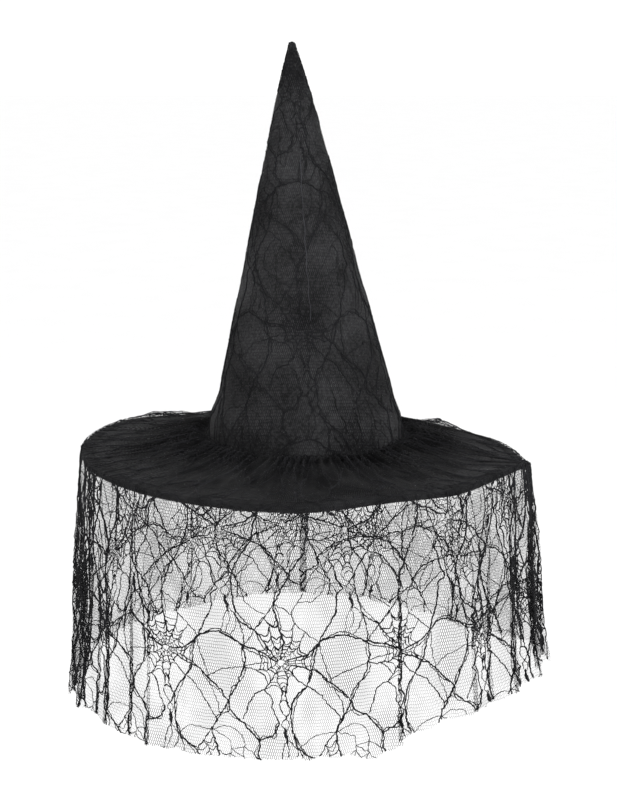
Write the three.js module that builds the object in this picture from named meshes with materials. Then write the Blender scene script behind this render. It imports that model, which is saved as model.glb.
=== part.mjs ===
// Pointed witch hat: a stiffened cloth crown, a wired flat brim and a lace veil that hangs from the brim's edge.
// Millimetres, +Z up. The origin is the centre of the head opening, on the underside of the brim. The front is -Y.
import * as THREE from 'three';
import { mergeVertices } from 'three/addons/utils/BufferGeometryUtils.js';

// ---- Driving dimensions -------------------------------------------------------------------------------------

const headRadius = 94; // bare inside of the sweatband at the head opening, a 590 mm head
const brimRadius = 228; // outside of the brim's edge binding
const crownHeight = 406; // head opening to the rounded tip
const veilDrop = 240; // head opening to the veil's hem, at the front, right and back
const veilFlare = 22; // the veil's hem stands this much wider than the brim's edge
const veilSideDrop = 30; // the raw hem hangs this much lower on the wearer's right

const gap = 0.3; // clearance between two layers that lie face to face
const segments = 48; // facets round the hat, the same for every layer, so that the layers nest

// Layers of the crown, from the outside in
const crownLaceThickness = 0.6;
const crownClothThickness = 0.8;
const interliningThickness = 2.2;
const liningThickness = 0.5;
const sweatbandThickness = 1.0;

// Crown outline
const tipCut = 18.5; // the straight cone would run this far past the rounded tip
const tipRoundHeight = 56; // the rounding starts this far below the tip
const tipSteps = [0, 0.32, 0.68, 0.9, 1]; // places along the rounding, as shares of its height
const footFlare = 2.8; // how far the foot of the crown swells out
const footHeight = 52; // height of the swelling
const footSteps = [0, 0.28, 0.55, 0.8, 1];
const leanAngle = 2.2; // degrees, towards -X, above the swelling

// Layers of the brim, from the underside up
const underClothThickness = 0.8;
const foamThickness = 3.0;
const topClothThickness = 0.8;
const bindingThickness = 0.7;
const bindingReach = 12; // how far the edge binding laps over the brim
const brimShoulder = 21; // flat ring beside the head opening
const brimFall = 9; // the edge lies this far below the head opening

// Wire hoop in the edge
const wireRadius = 0.7;
const wireSteps = 60;
const wireSides = 6;
const wireButtGap = 0.5; // between the wire's two ends, inside the ferrule
const wireSetback = 2; // between the hoop's centre line and the inside of the binding
const ferruleWall = 0.3;
const ferruleClearance = 0.4;
const ferruleLength = 10;
const ferruleSides = 12;

// Lace
const laceHeading = 6.5; // height of the gathered lace against the crown
const laceFoldReach = 30; // the gathers flatten out this far from the crown
const laceFoldHeight = 4; // height of the gathers there
const laceEdgeThickness = 1.0;
const veilThickness = 1.2;
const veilClearance = 0.6; // the veil slides past the brim's edge with this much room
const veilMidDrop = 0.5; // height of the veil's middle ring, as a share of its drop
const veilMidFlare = 0.35; // how much of the flare the veil has reached there
const gatherThreadRadius = 0.5;
const gatherThreadSides = 6;

// Trimmings inside
const sweatbandHeight = 30;
const seamBindingWidth = 16;
const seamBindingThickness = 0.8;
const seamTapeWidth = 10;
const seamTapeThickness = 0.6;
const seamTapeTop = 300;
const labelWidth = 24;
const labelHeight = 30;
const labelThickness = 0.4;
const labelAngle = 62; // degrees round from the back, towards -X

// ---- Sizes that follow from them ----------------------------------------------------------------------------

const sweatbandOuter = headRadius + sweatbandThickness;
const brimInner = sweatbandOuter + gap;

// Horizontal distance of each crown layer's outer and inner face from the outside of the crown
const crownLayers = {};
let crownDepth = 0;
for (const [name, thickness] of [
  ['lace', crownLaceThickness],
  ['cloth', crownClothThickness],
  ['interlining', interliningThickness],
  ['lining', liningThickness],
]) {
  crownLayers[name] = [crownDepth, crownDepth + thickness];
  crownDepth += thickness + gap;
}
const liningInside = crownLayers.lining[1];
const crownFootRadius = brimInner + liningInside;

// Heights of each brim layer's lower and upper face above the brim's underside
const underCloth = [0, underClothThickness];
const foam = [underCloth[1] + gap, underCloth[1] + gap + foamThickness];
const topCloth = [foam[1] + gap, foam[1] + gap + topClothThickness];
const brimStack = topCloth[1] + gap;
const bindingTop = brimStack + bindingThickness;
const laceOverBinding = bindingTop + gap;

const crownBottom = brimStack;
const virtualApex = crownHeight + tipCut;
const taper = crownFootRadius / (virtualApex - crownBottom);
const tipRoundStart = crownHeight - tipRoundHeight;
const tipRoundPower = tipRoundHeight / (virtualApex - tipRoundStart);
const leanStart = crownBottom + footHeight;
const footLevels = footSteps.map((share) => crownBottom + share * footHeight);

const bindingInside = brimRadius - bindingThickness;
const bindingArmEnd = brimRadius - bindingReach;
const clothEdge = bindingInside - gap;
const hoopRadius = bindingInside - wireSetback;
const ferruleInner = wireRadius + ferruleClearance;
const ferruleOuter = ferruleInner + ferruleWall;
const foamEdge = hoopRadius - ferruleOuter - gap;
const brimLaceInner = crownFootRadius + gap;
const veilHemRadius = brimRadius + veilFlare;
const shoulderEnd = brimInner + brimShoulder;
const facetInset = Math.cos(Math.PI / segments); // a facet's middle lies this share as far out as its corners

// Underside of the brim at a radius: flat beside the head, then falling to the edge
function brimUnderside(radius) {
  const share = Math.max(0, radius - shoulderEnd) / (brimRadius - shoulderEnd);
  return -brimFall * share;
}

// Outside radius of the plain cone, rounded at the tip
function coneRadius(z) {
  if (z <= tipRoundStart) return (virtualApex - z) * taper;
  const share = Math.min(1, (z - tipRoundStart) / tipRoundHeight);
  return (virtualApex - tipRoundStart) * taper * (1 - share) ** tipRoundPower;
}

function flareAtLevel(z) {
  return footFlare * Math.sin((Math.PI * (z - crownBottom)) / footHeight) ** 2;
}

// The foot's swelling, straight between its levels, so that every layer has the same facets
function footSwelling(z) {
  if (z <= crownBottom || z >= leanStart) return 0;
  const above = footLevels.findIndex((level) => level > z);
  const [low, high] = [footLevels[above - 1], footLevels[above]];
  const share = (z - low) / (high - low);
  return flareAtLevel(low) * (1 - share) + flareAtLevel(high) * share;
}

// Radius of the face that lies a horizontal depth inside the crown's outside
function crownRadius(z, depth) {
  return coneRadius(z + depth / taper) + footSwelling(z);
}

// ---- Helpers ------------------------------------------------------------------------------------------------

// Merge shared vertices, drop empty triangles and turn the faces outwards
function closedSolid(source) {
  const flat = source.index ? source.toNonIndexed() : source;
  flat.deleteAttribute('normal');
  flat.deleteAttribute('uv');
  const merged = mergeVertices(flat, 1e-4);
  const index = merged.index.array;
  const kept = [];
  for (let i = 0; i < index.length; i += 3) {
    const [a, b, c] = [index[i], index[i + 1], index[i + 2]];
    if (a !== b && b !== c && c !== a) kept.push(a, b, c);
  }
  const position = merged.getAttribute('position');
  const corner = kept.map((vertex) => new THREE.Vector3().fromBufferAttribute(position, vertex));
  let volume = 0;
  for (let i = 0; i < corner.length; i += 3) {
    volume += corner[i].dot(new THREE.Vector3().crossVectors(corner[i + 1], corner[i + 2]));
  }
  if (volume < 0) kept.reverse();
  const solid = new THREE.BufferGeometry();
  solid.setAttribute('position', position.clone());
  solid.setIndex(kept);
  solid.computeVertexNormals();
  return solid;
}

// Turn a [radius, height] outline round the hat's axis; a ring's outline is closed here
function turned(outline, { ring = true, sides = segments } = {}) {
  const points = outline.map(([radius, height]) => new THREE.Vector2(radius, height));
  if (ring) points.push(points[0].clone());
  const solid = new THREE.LatheGeometry(points, sides);
  solid.rotateX(Math.PI / 2);
  return solid;
}

// Lean the crown above its swelling
function leaned(solid) {
  const position = solid.getAttribute('position');
  const slope = Math.tan(THREE.MathUtils.degToRad(leanAngle));
  for (let i = 0; i < position.count; i += 1) {
    const rise = Math.max(0, position.getZ(i) - leanStart);
    position.setX(i, position.getX(i) - slope * rise);
  }
  return solid;
}

function ringOfSection(ringRadius, height, sectionRadius, sides) {
  const outline = [];
  for (let i = 0; i < sides; i += 1) {
    const angle = (2 * Math.PI * i) / sides;
    outline.push([ringRadius + sectionRadius * Math.cos(angle), height + sectionRadius * Math.sin(angle)]);
  }
  return turned(outline);
}

const hat = new THREE.Group();

function addPiece(parent, name, solid, colour, roughness, metalness = 0) {
  const material = new THREE.MeshStandardMaterial({ color: colour, roughness, metalness });
  const piece = new THREE.Mesh(closedSolid(solid), material);
  piece.name = name;
  parent.add(piece);
}

// ---- Crown --------------------------------------------------------------------------------------------------

// One face of a crown layer, from the foot to the tip
function crownFace(depth) {
  const drop = depth / taper;
  const foot = footLevels.map((z) => [crownRadius(z, depth), z]);
  const tip = tipSteps.map((share) => {
    const z = tipRoundStart + share * tipRoundHeight;
    return [share === 1 ? 0 : coneRadius(z), z - drop];
  });
  return [...foot, ...tip];
}

function crownShell([outerDepth, innerDepth]) {
  const outline = [...crownFace(innerDepth).reverse(), ...crownFace(outerDepth)];
  return leaned(turned(outline, { ring: false }));
}

// A flat strip laid against the lining at the back, before it is turned to its place
function liningStrip(width, low, high, thickness) {
  const levels = [low, ...footLevels.filter((z) => z > low && z < high), high];
  const faceAt = (z) => {
    const facet = crownRadius(z, liningInside) * facetInset;
    return Math.sqrt(facet ** 2 - (width / 2) ** 2) - gap;
  };
  const outline = new THREE.Shape();
  levels.forEach((z, i) => (i === 0 ? outline.moveTo(faceAt(z), z) : outline.lineTo(faceAt(z), z)));
  for (const z of levels.slice().reverse()) outline.lineTo(faceAt(z) - thickness, z);
  const strip = new THREE.ExtrudeGeometry(outline, { depth: width, bevelEnabled: false });
  strip.translate(0, 0, -width / 2);
  strip.rotateX(Math.PI / 2);
  strip.rotateZ(Math.PI / 2);
  return strip;
}

function sweatband() {
  const bottom = 0;
  const levels = [crownBottom, ...footLevels.filter((z) => z > crownBottom && z < sweatbandHeight), sweatbandHeight];
  const outer = levels.map((z) => [crownRadius(z, liningInside) - gap, z]);
  const inner = outer.map(([radius, z]) => [radius - sweatbandThickness, z]).reverse();
  return turned([[sweatbandOuter, bottom], ...outer, ...inner, [headRadius, bottom]]);
}

function buildCrown(parent) {
  addPiece(parent, 'crown_lace', crownShell(crownLayers.lace), 0x1b1b1e, 0.8);
  addPiece(parent, 'crown_cloth', crownShell(crownLayers.cloth), 0x202023, 0.85);
  addPiece(parent, 'crown_interlining', crownShell(crownLayers.interlining), 0x3a3a3c, 0.95);
  addPiece(parent, 'crown_lining', crownShell(crownLayers.lining), 0x151517, 0.6);
  addPiece(parent, 'sweatband', sweatband(), 0x111113, 0.7);

  const tapeBottom = sweatbandHeight + gap;
  const tape = liningStrip(seamTapeWidth, tapeBottom, seamTapeTop, seamTapeThickness);
  addPiece(parent, 'crown_seam_tape', leaned(tape), 0x1d1d20, 0.8);

  const label = liningStrip(labelWidth, tapeBottom, tapeBottom + labelHeight, labelThickness);
  label.rotateZ(THREE.MathUtils.degToRad(labelAngle));
  addPiece(parent, 'care_label', leaned(label), 0xe8e6e0, 0.6);
}

// ---- Brim ---------------------------------------------------------------------------------------------------

// A flat layer of the brim between two heights over its underside
function brimLayer(outerRadius, [low, high]) {
  const radii = [brimInner, shoulderEnd, outerRadius];
  const lower = radii.map((radius) => [radius, brimUnderside(radius) + low]);
  const upper = radii.map((radius) => [radius, brimUnderside(radius) + high]).reverse();
  return turned([...lower, ...upper]);
}

// The binding is folded round the edge: a lower arm, a web and an upper arm
function edgeBinding() {
  const at = (radius, height) => [radius, brimUnderside(radius) + height];
  return turned([
    at(bindingArmEnd, -gap - bindingThickness),
    at(brimRadius, -gap - bindingThickness),
    at(brimRadius, bindingTop),
    at(bindingArmEnd, bindingTop),
    at(bindingArmEnd, brimStack),
    at(bindingInside, brimStack),
    at(bindingInside, -gap),
    at(bindingArmEnd, -gap),
  ]);
}

// The hoop's arc starts and ends at the back, inside the ferrule
class HoopArc extends THREE.Curve {
  getPoint(share, target = new THREE.Vector3()) {
    const halfGap = wireButtGap / 2 / hoopRadius;
    const angle = Math.PI / 2 + halfGap + share * 2 * (Math.PI - halfGap);
    return target.set(hoopRadius * Math.cos(angle), hoopRadius * Math.sin(angle), hoopHeight);
  }
}

const hoopHeight = brimUnderside(hoopRadius) + (foam[0] + foam[1]) / 2;

function wireHoop() {
  const section = new THREE.Shape();
  for (let i = 0; i < wireSides; i += 1) {
    const angle = (2 * Math.PI * i) / wireSides;
    const [x, y] = [wireRadius * Math.cos(angle), wireRadius * Math.sin(angle)];
    if (i === 0) section.moveTo(x, y);
    else section.lineTo(x, y);
  }
  return new THREE.ExtrudeGeometry(section, { steps: wireSteps, extrudePath: new HoopArc() });
}

function wireFerrule() {
  const half = ferruleLength / 2;
  const outline = [
    [ferruleInner, -half],
    [ferruleOuter, -half],
    [ferruleOuter, half],
    [ferruleInner, half],
  ];
  const sleeve = turned(outline, { sides: ferruleSides });
  sleeve.rotateY(Math.PI / 2);
  sleeve.translate(0, hoopRadius, hoopHeight);
  return sleeve;
}

// A flat tape round the head opening covers the seam; its underside is where ties and combs are sewn
function headSeamBinding() {
  const [low, high] = [-gap - seamBindingThickness, -gap];
  const outer = brimInner + seamBindingWidth;
  return turned([
    [brimInner, low],
    [outer, low],
    [outer, high],
    [brimInner, high],
  ]);
}

function buildBrim(parent) {
  addPiece(parent, 'brim_under_cloth', brimLayer(clothEdge, underCloth), 0x202023, 0.85);
  addPiece(parent, 'brim_foam', brimLayer(foamEdge, foam), 0x3a3a3c, 0.95);
  addPiece(parent, 'brim_top_cloth', brimLayer(clothEdge, topCloth), 0x202023, 0.85);
  addPiece(parent, 'brim_edge_binding', edgeBinding(), 0x161618, 0.75);
  addPiece(parent, 'brim_wire', wireHoop(), 0x8a8d90, 0.35, 1);
  addPiece(parent, 'wire_ferrule', wireFerrule(), 0xb4b6b8, 0.4, 1);
  addPiece(parent, 'head_seam_binding', headSeamBinding(), 0x161618, 0.75);
}

// ---- Lace ---------------------------------------------------------------------------------------------------

const headingTop = brimStack + laceHeading;

// The lace on the brim: a gathered heading at the crown, folds that flatten out, and a step over the binding
function brimLace() {
  const foldEnd = brimLaceInner + laceFoldReach;
  const at = (radius, height) => [radius, brimUnderside(radius) + height];
  return turned([
    at(brimLaceInner, brimStack),
    at(shoulderEnd, brimStack),
    at(bindingArmEnd - gap, brimStack),
    at(bindingArmEnd - gap, laceOverBinding),
    at(brimRadius, laceOverBinding),
    at(brimRadius, laceOverBinding + laceEdgeThickness),
    at(foldEnd, brimStack + laceFoldHeight),
    [brimLaceInner, headingTop],
  ]);
}

function veilSkirt() {
  const top = brimUnderside(brimRadius) + laceOverBinding + laceEdgeThickness;
  const topRadius = brimRadius + veilClearance;
  const midHeight = top - (veilDrop + top) * veilMidDrop;
  const midRadius = topRadius + (veilHemRadius - topRadius) * veilMidFlare;
  const solid = turned([
    [topRadius, top],
    [midRadius, midHeight],
    [veilHemRadius, -veilDrop],
    [veilHemRadius + veilThickness, -veilDrop],
    [midRadius + veilThickness, midHeight],
    [topRadius + veilThickness, top],
  ]);
  const position = solid.getAttribute('position');
  for (let i = 0; i < position.count; i += 1) {
    const z = position.getZ(i);
    if (z > -veilDrop + gap) continue;
    const sideways = Math.max(0, -position.getX(i) / veilHemRadius);
    position.setZ(i, z - veilSideDrop * sideways ** 2);
  }
  return solid;
}

function buildLace(parent) {
  addPiece(parent, 'brim_lace', brimLace(), 0x141416, 0.9);
  const threadRing = brimLaceInner + gatherThreadRadius + gap;
  const threadHeight = headingTop + gatherThreadRadius + gap;
  const thread = ringOfSection(threadRing, threadHeight, gatherThreadRadius, gatherThreadSides);
  addPiece(parent, 'gathering_thread', thread, 0x101012, 0.7);
  addPiece(parent, 'veil_skirt', veilSkirt(), 0x2a2a2c, 0.9);
}

buildCrown(hat);
buildBrim(hat);
buildLace(hat);

export default hat;
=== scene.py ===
"""Witch hat with a gathered cobweb-lace veil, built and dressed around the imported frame.

Every length is in metres in the row frame: +Z is up, the wearer faces -Y, +X is the wearer's left, and
the origin is the middle of the head opening on the underside of the brim. Angles round the hat start at
the front and grow towards +X.
"""
import logging
import math
from collections.abc import Callable, Iterable, Iterator, Sequence
from contextlib import contextmanager
from dataclasses import dataclass, field
from enum import Enum
from typing import Self

import bmesh
import bpy
import numpy as np
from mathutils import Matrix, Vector


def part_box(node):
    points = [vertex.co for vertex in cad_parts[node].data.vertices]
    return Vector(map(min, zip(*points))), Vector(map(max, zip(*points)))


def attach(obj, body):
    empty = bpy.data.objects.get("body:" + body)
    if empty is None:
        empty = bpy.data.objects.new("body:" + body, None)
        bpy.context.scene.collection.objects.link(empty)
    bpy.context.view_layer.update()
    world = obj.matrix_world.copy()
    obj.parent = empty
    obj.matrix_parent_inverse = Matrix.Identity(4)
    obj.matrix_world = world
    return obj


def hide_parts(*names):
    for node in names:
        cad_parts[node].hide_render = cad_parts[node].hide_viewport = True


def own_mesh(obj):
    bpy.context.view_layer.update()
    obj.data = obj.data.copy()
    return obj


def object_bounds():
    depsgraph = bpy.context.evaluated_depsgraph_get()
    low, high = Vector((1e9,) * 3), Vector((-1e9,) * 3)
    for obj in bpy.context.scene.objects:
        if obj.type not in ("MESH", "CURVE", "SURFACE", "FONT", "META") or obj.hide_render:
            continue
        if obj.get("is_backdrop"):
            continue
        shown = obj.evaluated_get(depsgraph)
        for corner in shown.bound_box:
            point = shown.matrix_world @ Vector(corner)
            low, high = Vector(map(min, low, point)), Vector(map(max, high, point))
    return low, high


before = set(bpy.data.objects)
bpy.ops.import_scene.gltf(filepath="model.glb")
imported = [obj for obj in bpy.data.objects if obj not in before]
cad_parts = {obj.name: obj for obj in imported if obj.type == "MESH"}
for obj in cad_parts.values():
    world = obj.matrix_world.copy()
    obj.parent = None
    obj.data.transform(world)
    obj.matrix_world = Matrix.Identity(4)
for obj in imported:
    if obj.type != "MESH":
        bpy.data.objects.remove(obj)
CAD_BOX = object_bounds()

LOG = logging.getLogger("witch_hat")
MM = 0.001
TURN = 2.0 * math.pi
HAT = "hat"
UV_NAME = "UVMap"
RADIUS_NAME = "thread_radius"

Feed = object
Colour = tuple[float, float, float]
Line = tuple[tuple[float, float], ...]
Array = np.ndarray
Piece = bpy.types.Object
Material = bpy.types.Material
Tree = bpy.types.NodeTree
Node = bpy.types.Node
Socket = bpy.types.NodeSocket


class Slot(Enum):
    """Names of the material slots."""

    CLOTH = "matte_cloth"
    LACE = "lace_net"
    FELT = "stiffener_felt"
    FOAM = "brim_foam_board"
    LINING = "lining_cloth"
    RIBBON = "ribbed_ribbon"
    TAPE = "woven_tape"
    SATIN = "label_satin"
    THREAD = "sewing_thread"
    STEEL = "hoop_steel"


class Hold(Enum):
    """How a sheet of cloth is held."""

    HUNG = "hung"
    GATHERED = "gathered"
    STRETCHED = "stretched"


# ---- Small tools: smooth steps, ripples, node benches and mesh patches ----


def smooth(value: Array | float) -> Array:
    """Smooth step from 0 to 1 over the unit range."""
    share = np.clip(value, 0.0, 1.0)
    return share * share * (3.0 - 2.0 * share)


def add_object(name: str, data: bpy.types.ID) -> Piece:
    """A new object with the given data, linked to the scene."""
    made = bpy.data.objects.new(name, data)
    bpy.context.scene.collection.objects.link(made)
    return made


@contextmanager
def opened(mesh: bpy.types.Mesh) -> Iterator[bmesh.types.BMesh]:
    """Open a mesh for editing and write it back at the end.

    Args:
        mesh: The mesh.

    Yields:
        Its editable copy.
    """
    work = bmesh.new()
    work.from_mesh(mesh)
    yield work
    work.to_mesh(mesh)
    work.free()


def all_round(count: int) -> Array:
    """Evenly spaced angles all round, from the front."""
    return np.linspace(0.0, TURN, count, endpoint=False)


def polar(angle: Array, radius: Array | float, height: Array | float) -> Array:
    """Points at an angle from the front, a radius and a height."""
    return np.stack(np.broadcast_arrays(radius * np.sin(angle), -radius * np.cos(angle), height), -1)


def chart(across: Array, along: Array) -> Array:
    """Flat coordinates in metres from two that broadcast."""
    return np.stack(np.broadcast_arrays(across, along), -1)


class Ripple:
    """A smooth seeded wave field over two coordinates, from about -1 to 1."""

    def __init__(self, seed: int, across: float, along: float, waves: int = 9, ring: bool = True) -> None:
        """Draw the waves.

        Args:
            seed: Seed of the random draws.
            across: Highest number of waves per radian (or metre) of the first coordinate.
            along: Highest angular frequency over the second coordinate, per metre.
            waves: How many waves are added up.
            ring: Whether the first coordinate is an angle that has to close on itself.
        """
        rng = np.random.default_rng(seed)
        first = rng.uniform(-across, across, waves)
        self.first = np.round(first) if ring else first
        self.second = rng.uniform(-along, along, waves)
        self.phase = rng.uniform(0.0, TURN, waves)
        self.share = rng.uniform(0.5, 1.0, waves)
        self.share /= np.sqrt((self.share**2).sum() * 0.5) * 2.2

    def __call__(self, first: Array, second: Array | float = 0.0) -> Array:
        """Height of the field at the given coordinates."""
        total = np.zeros(np.broadcast(first, second).shape)
        for wave in range(len(self.phase)):
            angle = self.first[wave] * first + self.second[wave] * second + self.phase[wave]
            total = total + self.share[wave] * np.sin(angle)
        return total


class NodeBench:
    """Adds and joins nodes in one tree, so that a recipe reads as a list of steps."""

    def __init__(self, tree: Tree) -> None:
        """Work on the given tree."""
        self.tree = tree

    @staticmethod
    def socket(sockets: Iterable[Socket], key: str | int) -> Socket:
        """Find a socket.

        Args:
            sockets: The inputs or outputs of a node.
            key: Its place, its identifier or its name.

        Returns:
            The socket.
        """
        listed = list(sockets)
        if isinstance(key, int):
            return listed[key]
        for match in (lambda s: s.identifier == key, lambda s: s.name == key and s.enabled):
            found = next((s for s in listed if match(s)), None)
            if found is not None:
                return found
        raise KeyError(key)

    def add(self, kind: str, feeds: dict[str | int, Feed] | None = None, **settings: object) -> Node:
        """Add a node.

        Args:
            kind: The node's type name.
            feeds: What goes into each input, as a socket or a plain value.
            **settings: Attributes of the node, set before its inputs.

        Returns:
            The node.
        """
        node = self.tree.nodes.new(kind)
        for name, value in settings.items():
            setattr(node, name, value)
        for key, value in (feeds or {}).items():
            self.feed(self.socket(node.inputs, key), value)
        return node

    def feed(self, target: Socket, value: Feed) -> None:
        """Link a socket to the target, or set the target's own value."""
        if isinstance(value, Node):
            value = next(s for s in value.outputs if s.enabled)
        if isinstance(value, Socket):
            self.tree.links.new(value, target)
        else:
            target.default_value = value

    def math(self, operation: str, first: Feed, second: Feed = 0.0, third: Feed = 0.0) -> Socket:
        """Result of a Math node."""
        return self.add("ShaderNodeMath", {0: first, 1: second, 2: third}, operation=operation).outputs[0]

    def times(self, first: Feed, second: Feed) -> Socket:
        """The product of two numbers."""
        return self.math("MULTIPLY", first, second)

    def plus(self, first: Feed, second: Feed) -> Socket:
        """The sum of two numbers."""
        return self.math("ADD", first, second)

    def minus(self, first: Feed, second: Feed) -> Socket:
        """The difference of two numbers."""
        return self.math("SUBTRACT", first, second)

    def over(self, first: Feed, second: Feed) -> Socket:
        """The quotient of two numbers."""
        return self.math("DIVIDE", first, second)

    def parts(self, vector: Feed) -> bpy.types.NodeOutputs:
        """X, Y and Z of a vector."""
        return self.add("ShaderNodeSeparateXYZ", {0: vector}).outputs

    def spot(self) -> Socket:
        """Position of each point."""
        return self.add("GeometryNodeInputPosition").outputs[0]

    def vector(self, operation: str, first: Feed, second: Feed = (0, 0, 0), key: str = "Vector") -> Socket:
        """Result of a Vector Math node, its vector or its value."""
        node = self.add("ShaderNodeVectorMath", {0: first, 1: second}, operation=operation)
        return self.socket(node.outputs, key)

    def scaled(self, vector: Feed, factor: Feed) -> Socket:
        """A vector times a number."""
        node = self.add("ShaderNodeVectorMath", {0: vector, "Scale": factor}, operation="SCALE")
        return node.outputs[0]

    def range(
        self, value: Feed, low: float, high: float, to_low: float = 0.0, to_high: float = 1.0
    ) -> Socket:
        """Map a value smoothly from one range to another."""
        feeds = {"Value": value, "From Min": low, "From Max": high, "To Min": to_low, "To Max": to_high}
        return self.add("ShaderNodeMapRange", feeds, interpolation_type="SMOOTHSTEP").outputs[0]

    def mix(self, factor: Feed, first: Feed, second: Feed) -> Socket:
        """Mix two colours."""
        first = (*first, 1.0) if isinstance(first, tuple) else first
        second = (*second, 1.0) if isinstance(second, tuple) else second
        feeds = {"Factor_Float": factor, "A_Color": first, "B_Color": second}
        node = self.add("ShaderNodeMix", feeds, data_type="RGBA")
        return self.socket(node.outputs, "Result_Color")

    def noise(
        self, vector: Feed, scale: Feed, detail: float = 2.0, rough: float = 0.5, colour: bool = False
    ) -> Socket:
        """A noise texture's value or colour."""
        feeds = {"Vector": vector, "Scale": scale, "Detail": detail, "Roughness": rough}
        return self.socket(self.add("ShaderNodeTexNoise", feeds).outputs, "Color" if colour else "Fac")


class Patchwork:
    """Gathers grids of points into one mesh with a UV map in metres."""

    def __init__(self) -> None:
        """Start with nothing."""
        self.points: list[Array] = []
        self.faces: list[Array] = []
        self.uvs: list[Array] = []
        self.count = 0

    def grid(self, points: Array, uv: Array, ring: bool = False, flip: bool = False) -> Self:
        """Add a grid of quads.

        Args:
            points: Rows by columns by 3.
            uv: Rows by columns by 2, with one more column where the grid closes on itself.
            ring: Whether the last column joins the first.
            flip: Whether the faces are turned over.

        Returns:
            The patchwork itself.
        """
        rows, columns = points.shape[:2]
        spans = columns if ring else columns - 1
        row, column = np.meshgrid(np.arange(rows - 1), np.arange(spans), indexing="ij")
        row, column = row.ravel(), column.ravel()
        after = (column + 1) % columns
        low, high = row * columns, (row + 1) * columns
        corners = np.stack([low + column, low + after, high + after, high + column], 1)
        spots = np.stack(
            [uv[row, column], uv[row, column + 1], uv[row + 1, column + 1], uv[row + 1, column]], 1
        )
        if flip:
            corners, spots = corners[:, ::-1], spots[:, ::-1]
        self.points.append(points.reshape(-1, 3))
        self.faces.append(corners + self.count)
        self.uvs.append(spots.reshape(-1, 2))
        self.count += rows * columns
        return self

    def strip(self, walls: Sequence[Array], uv: Array) -> None:
        """Add a strip of cloth with a thickness.

        Args:
            walls: Its two faces, each rows by columns by 3.
            uv: Rows by columns by 2.
        """
        self.grid(walls[0], uv).grid(walls[1], uv, flip=True)
        for edge in (0, -1):
            self.grid(np.stack([walls[0][:, edge], walls[1][:, edge]], 1), uv[:, :2])
            self.grid(np.stack([walls[0][edge], walls[1][edge]]), uv[:2])

    def build(self, name: str, merge: float = 1e-7, closed: bool = False) -> Piece:
        """Make the object.

        Args:
            name: The piece's name.
            merge: Distance below which points become one; 0 leaves them.
            closed: Whether the mesh is a closed shell, whose normals are made to point outwards.

        Returns:
            The object, linked to the scene.
        """
        mesh = bpy.data.meshes.new(name)
        faces = np.concatenate(self.faces)
        mesh.from_pydata(np.concatenate(self.points).tolist(), [], faces.tolist())
        layer = mesh.uv_layers.new(name=UV_NAME)
        layer.data.foreach_set("uv", np.concatenate(self.uvs).astype(np.float32).ravel())
        if merge > 0:
            with opened(mesh) as work:
                bmesh.ops.remove_doubles(work, verts=work.verts, dist=merge)
                if closed:
                    bmesh.ops.recalc_face_normals(work, faces=work.faces)
        mesh.shade_smooth()
        return add_object(name, mesh)


def lengths_along(points: Array) -> Array:
    """Distance walked from the first point to each point of a line."""
    steps = np.linalg.norm(np.diff(points, axis=0), axis=-1)
    return np.concatenate([[0.0], np.cumsum(steps)])


def spline(controls: Sequence[Sequence[float]], step: float) -> Array:
    """A smooth line through control points.

    Args:
        controls: The points it passes through.
        step: Distance between the points of the result.

    Returns:
        Points along a Catmull-Rom curve.
    """
    knots = np.asarray(controls, float)
    padded = np.vstack([2 * knots[0] - knots[1], knots, 2 * knots[-1] - knots[-2]])
    line = []
    for before, start, end, after in zip(padded, padded[1:], padded[2:], padded[3:]):
        share = np.linspace(0.0, 1.0, 12, endpoint=False)[:, None]
        tangent_in, tangent_out = (end - before) / 2, (after - start) / 2
        line.append(
            (2 * share**3 - 3 * share**2 + 1) * start
            + (share**3 - 2 * share**2 + share) * tangent_in
            + (3 * share**2 - 2 * share**3) * end
            + (share**3 - share**2) * tangent_out
        )
    dense = np.vstack([*line, knots[-1:]])
    walked = lengths_along(dense)
    count = max(2, int(round(walked[-1] / step)) + 1)
    wanted = np.linspace(0.0, walked[-1], count)
    return np.stack([np.interp(wanted, walked, dense[:, axis]) for axis in range(dense.shape[1])], 1)


def round_corners(section: Sequence[Sequence[float]], radius: float, steps: int = 3) -> Array:
    """A closed section outline with its corners rounded.

    Args:
        section: Corner points in order.
        radius: Rounding radius, cut to what the sides allow.
        steps: Points per corner, less one.

    Returns:
        The rounded outline.
    """
    corners = np.asarray(section, float)
    outline = []
    for index, corner in enumerate(corners):
        before, after = corners[index - 1] - corner, corners[(index + 1) % len(corners)] - corner
        reach = min(radius, np.linalg.norm(before) * 0.45, np.linalg.norm(after) * 0.45)
        start = corner + before / np.linalg.norm(before) * reach
        end = corner + after / np.linalg.norm(after) * reach
        for share in np.linspace(0.0, 1.0, steps + 1):
            outline.append((1 - share) ** 2 * start + 2 * share * (1 - share) * corner + share**2 * end)
    return np.array(outline)


# ---- Shader groups and finishes ----


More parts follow.
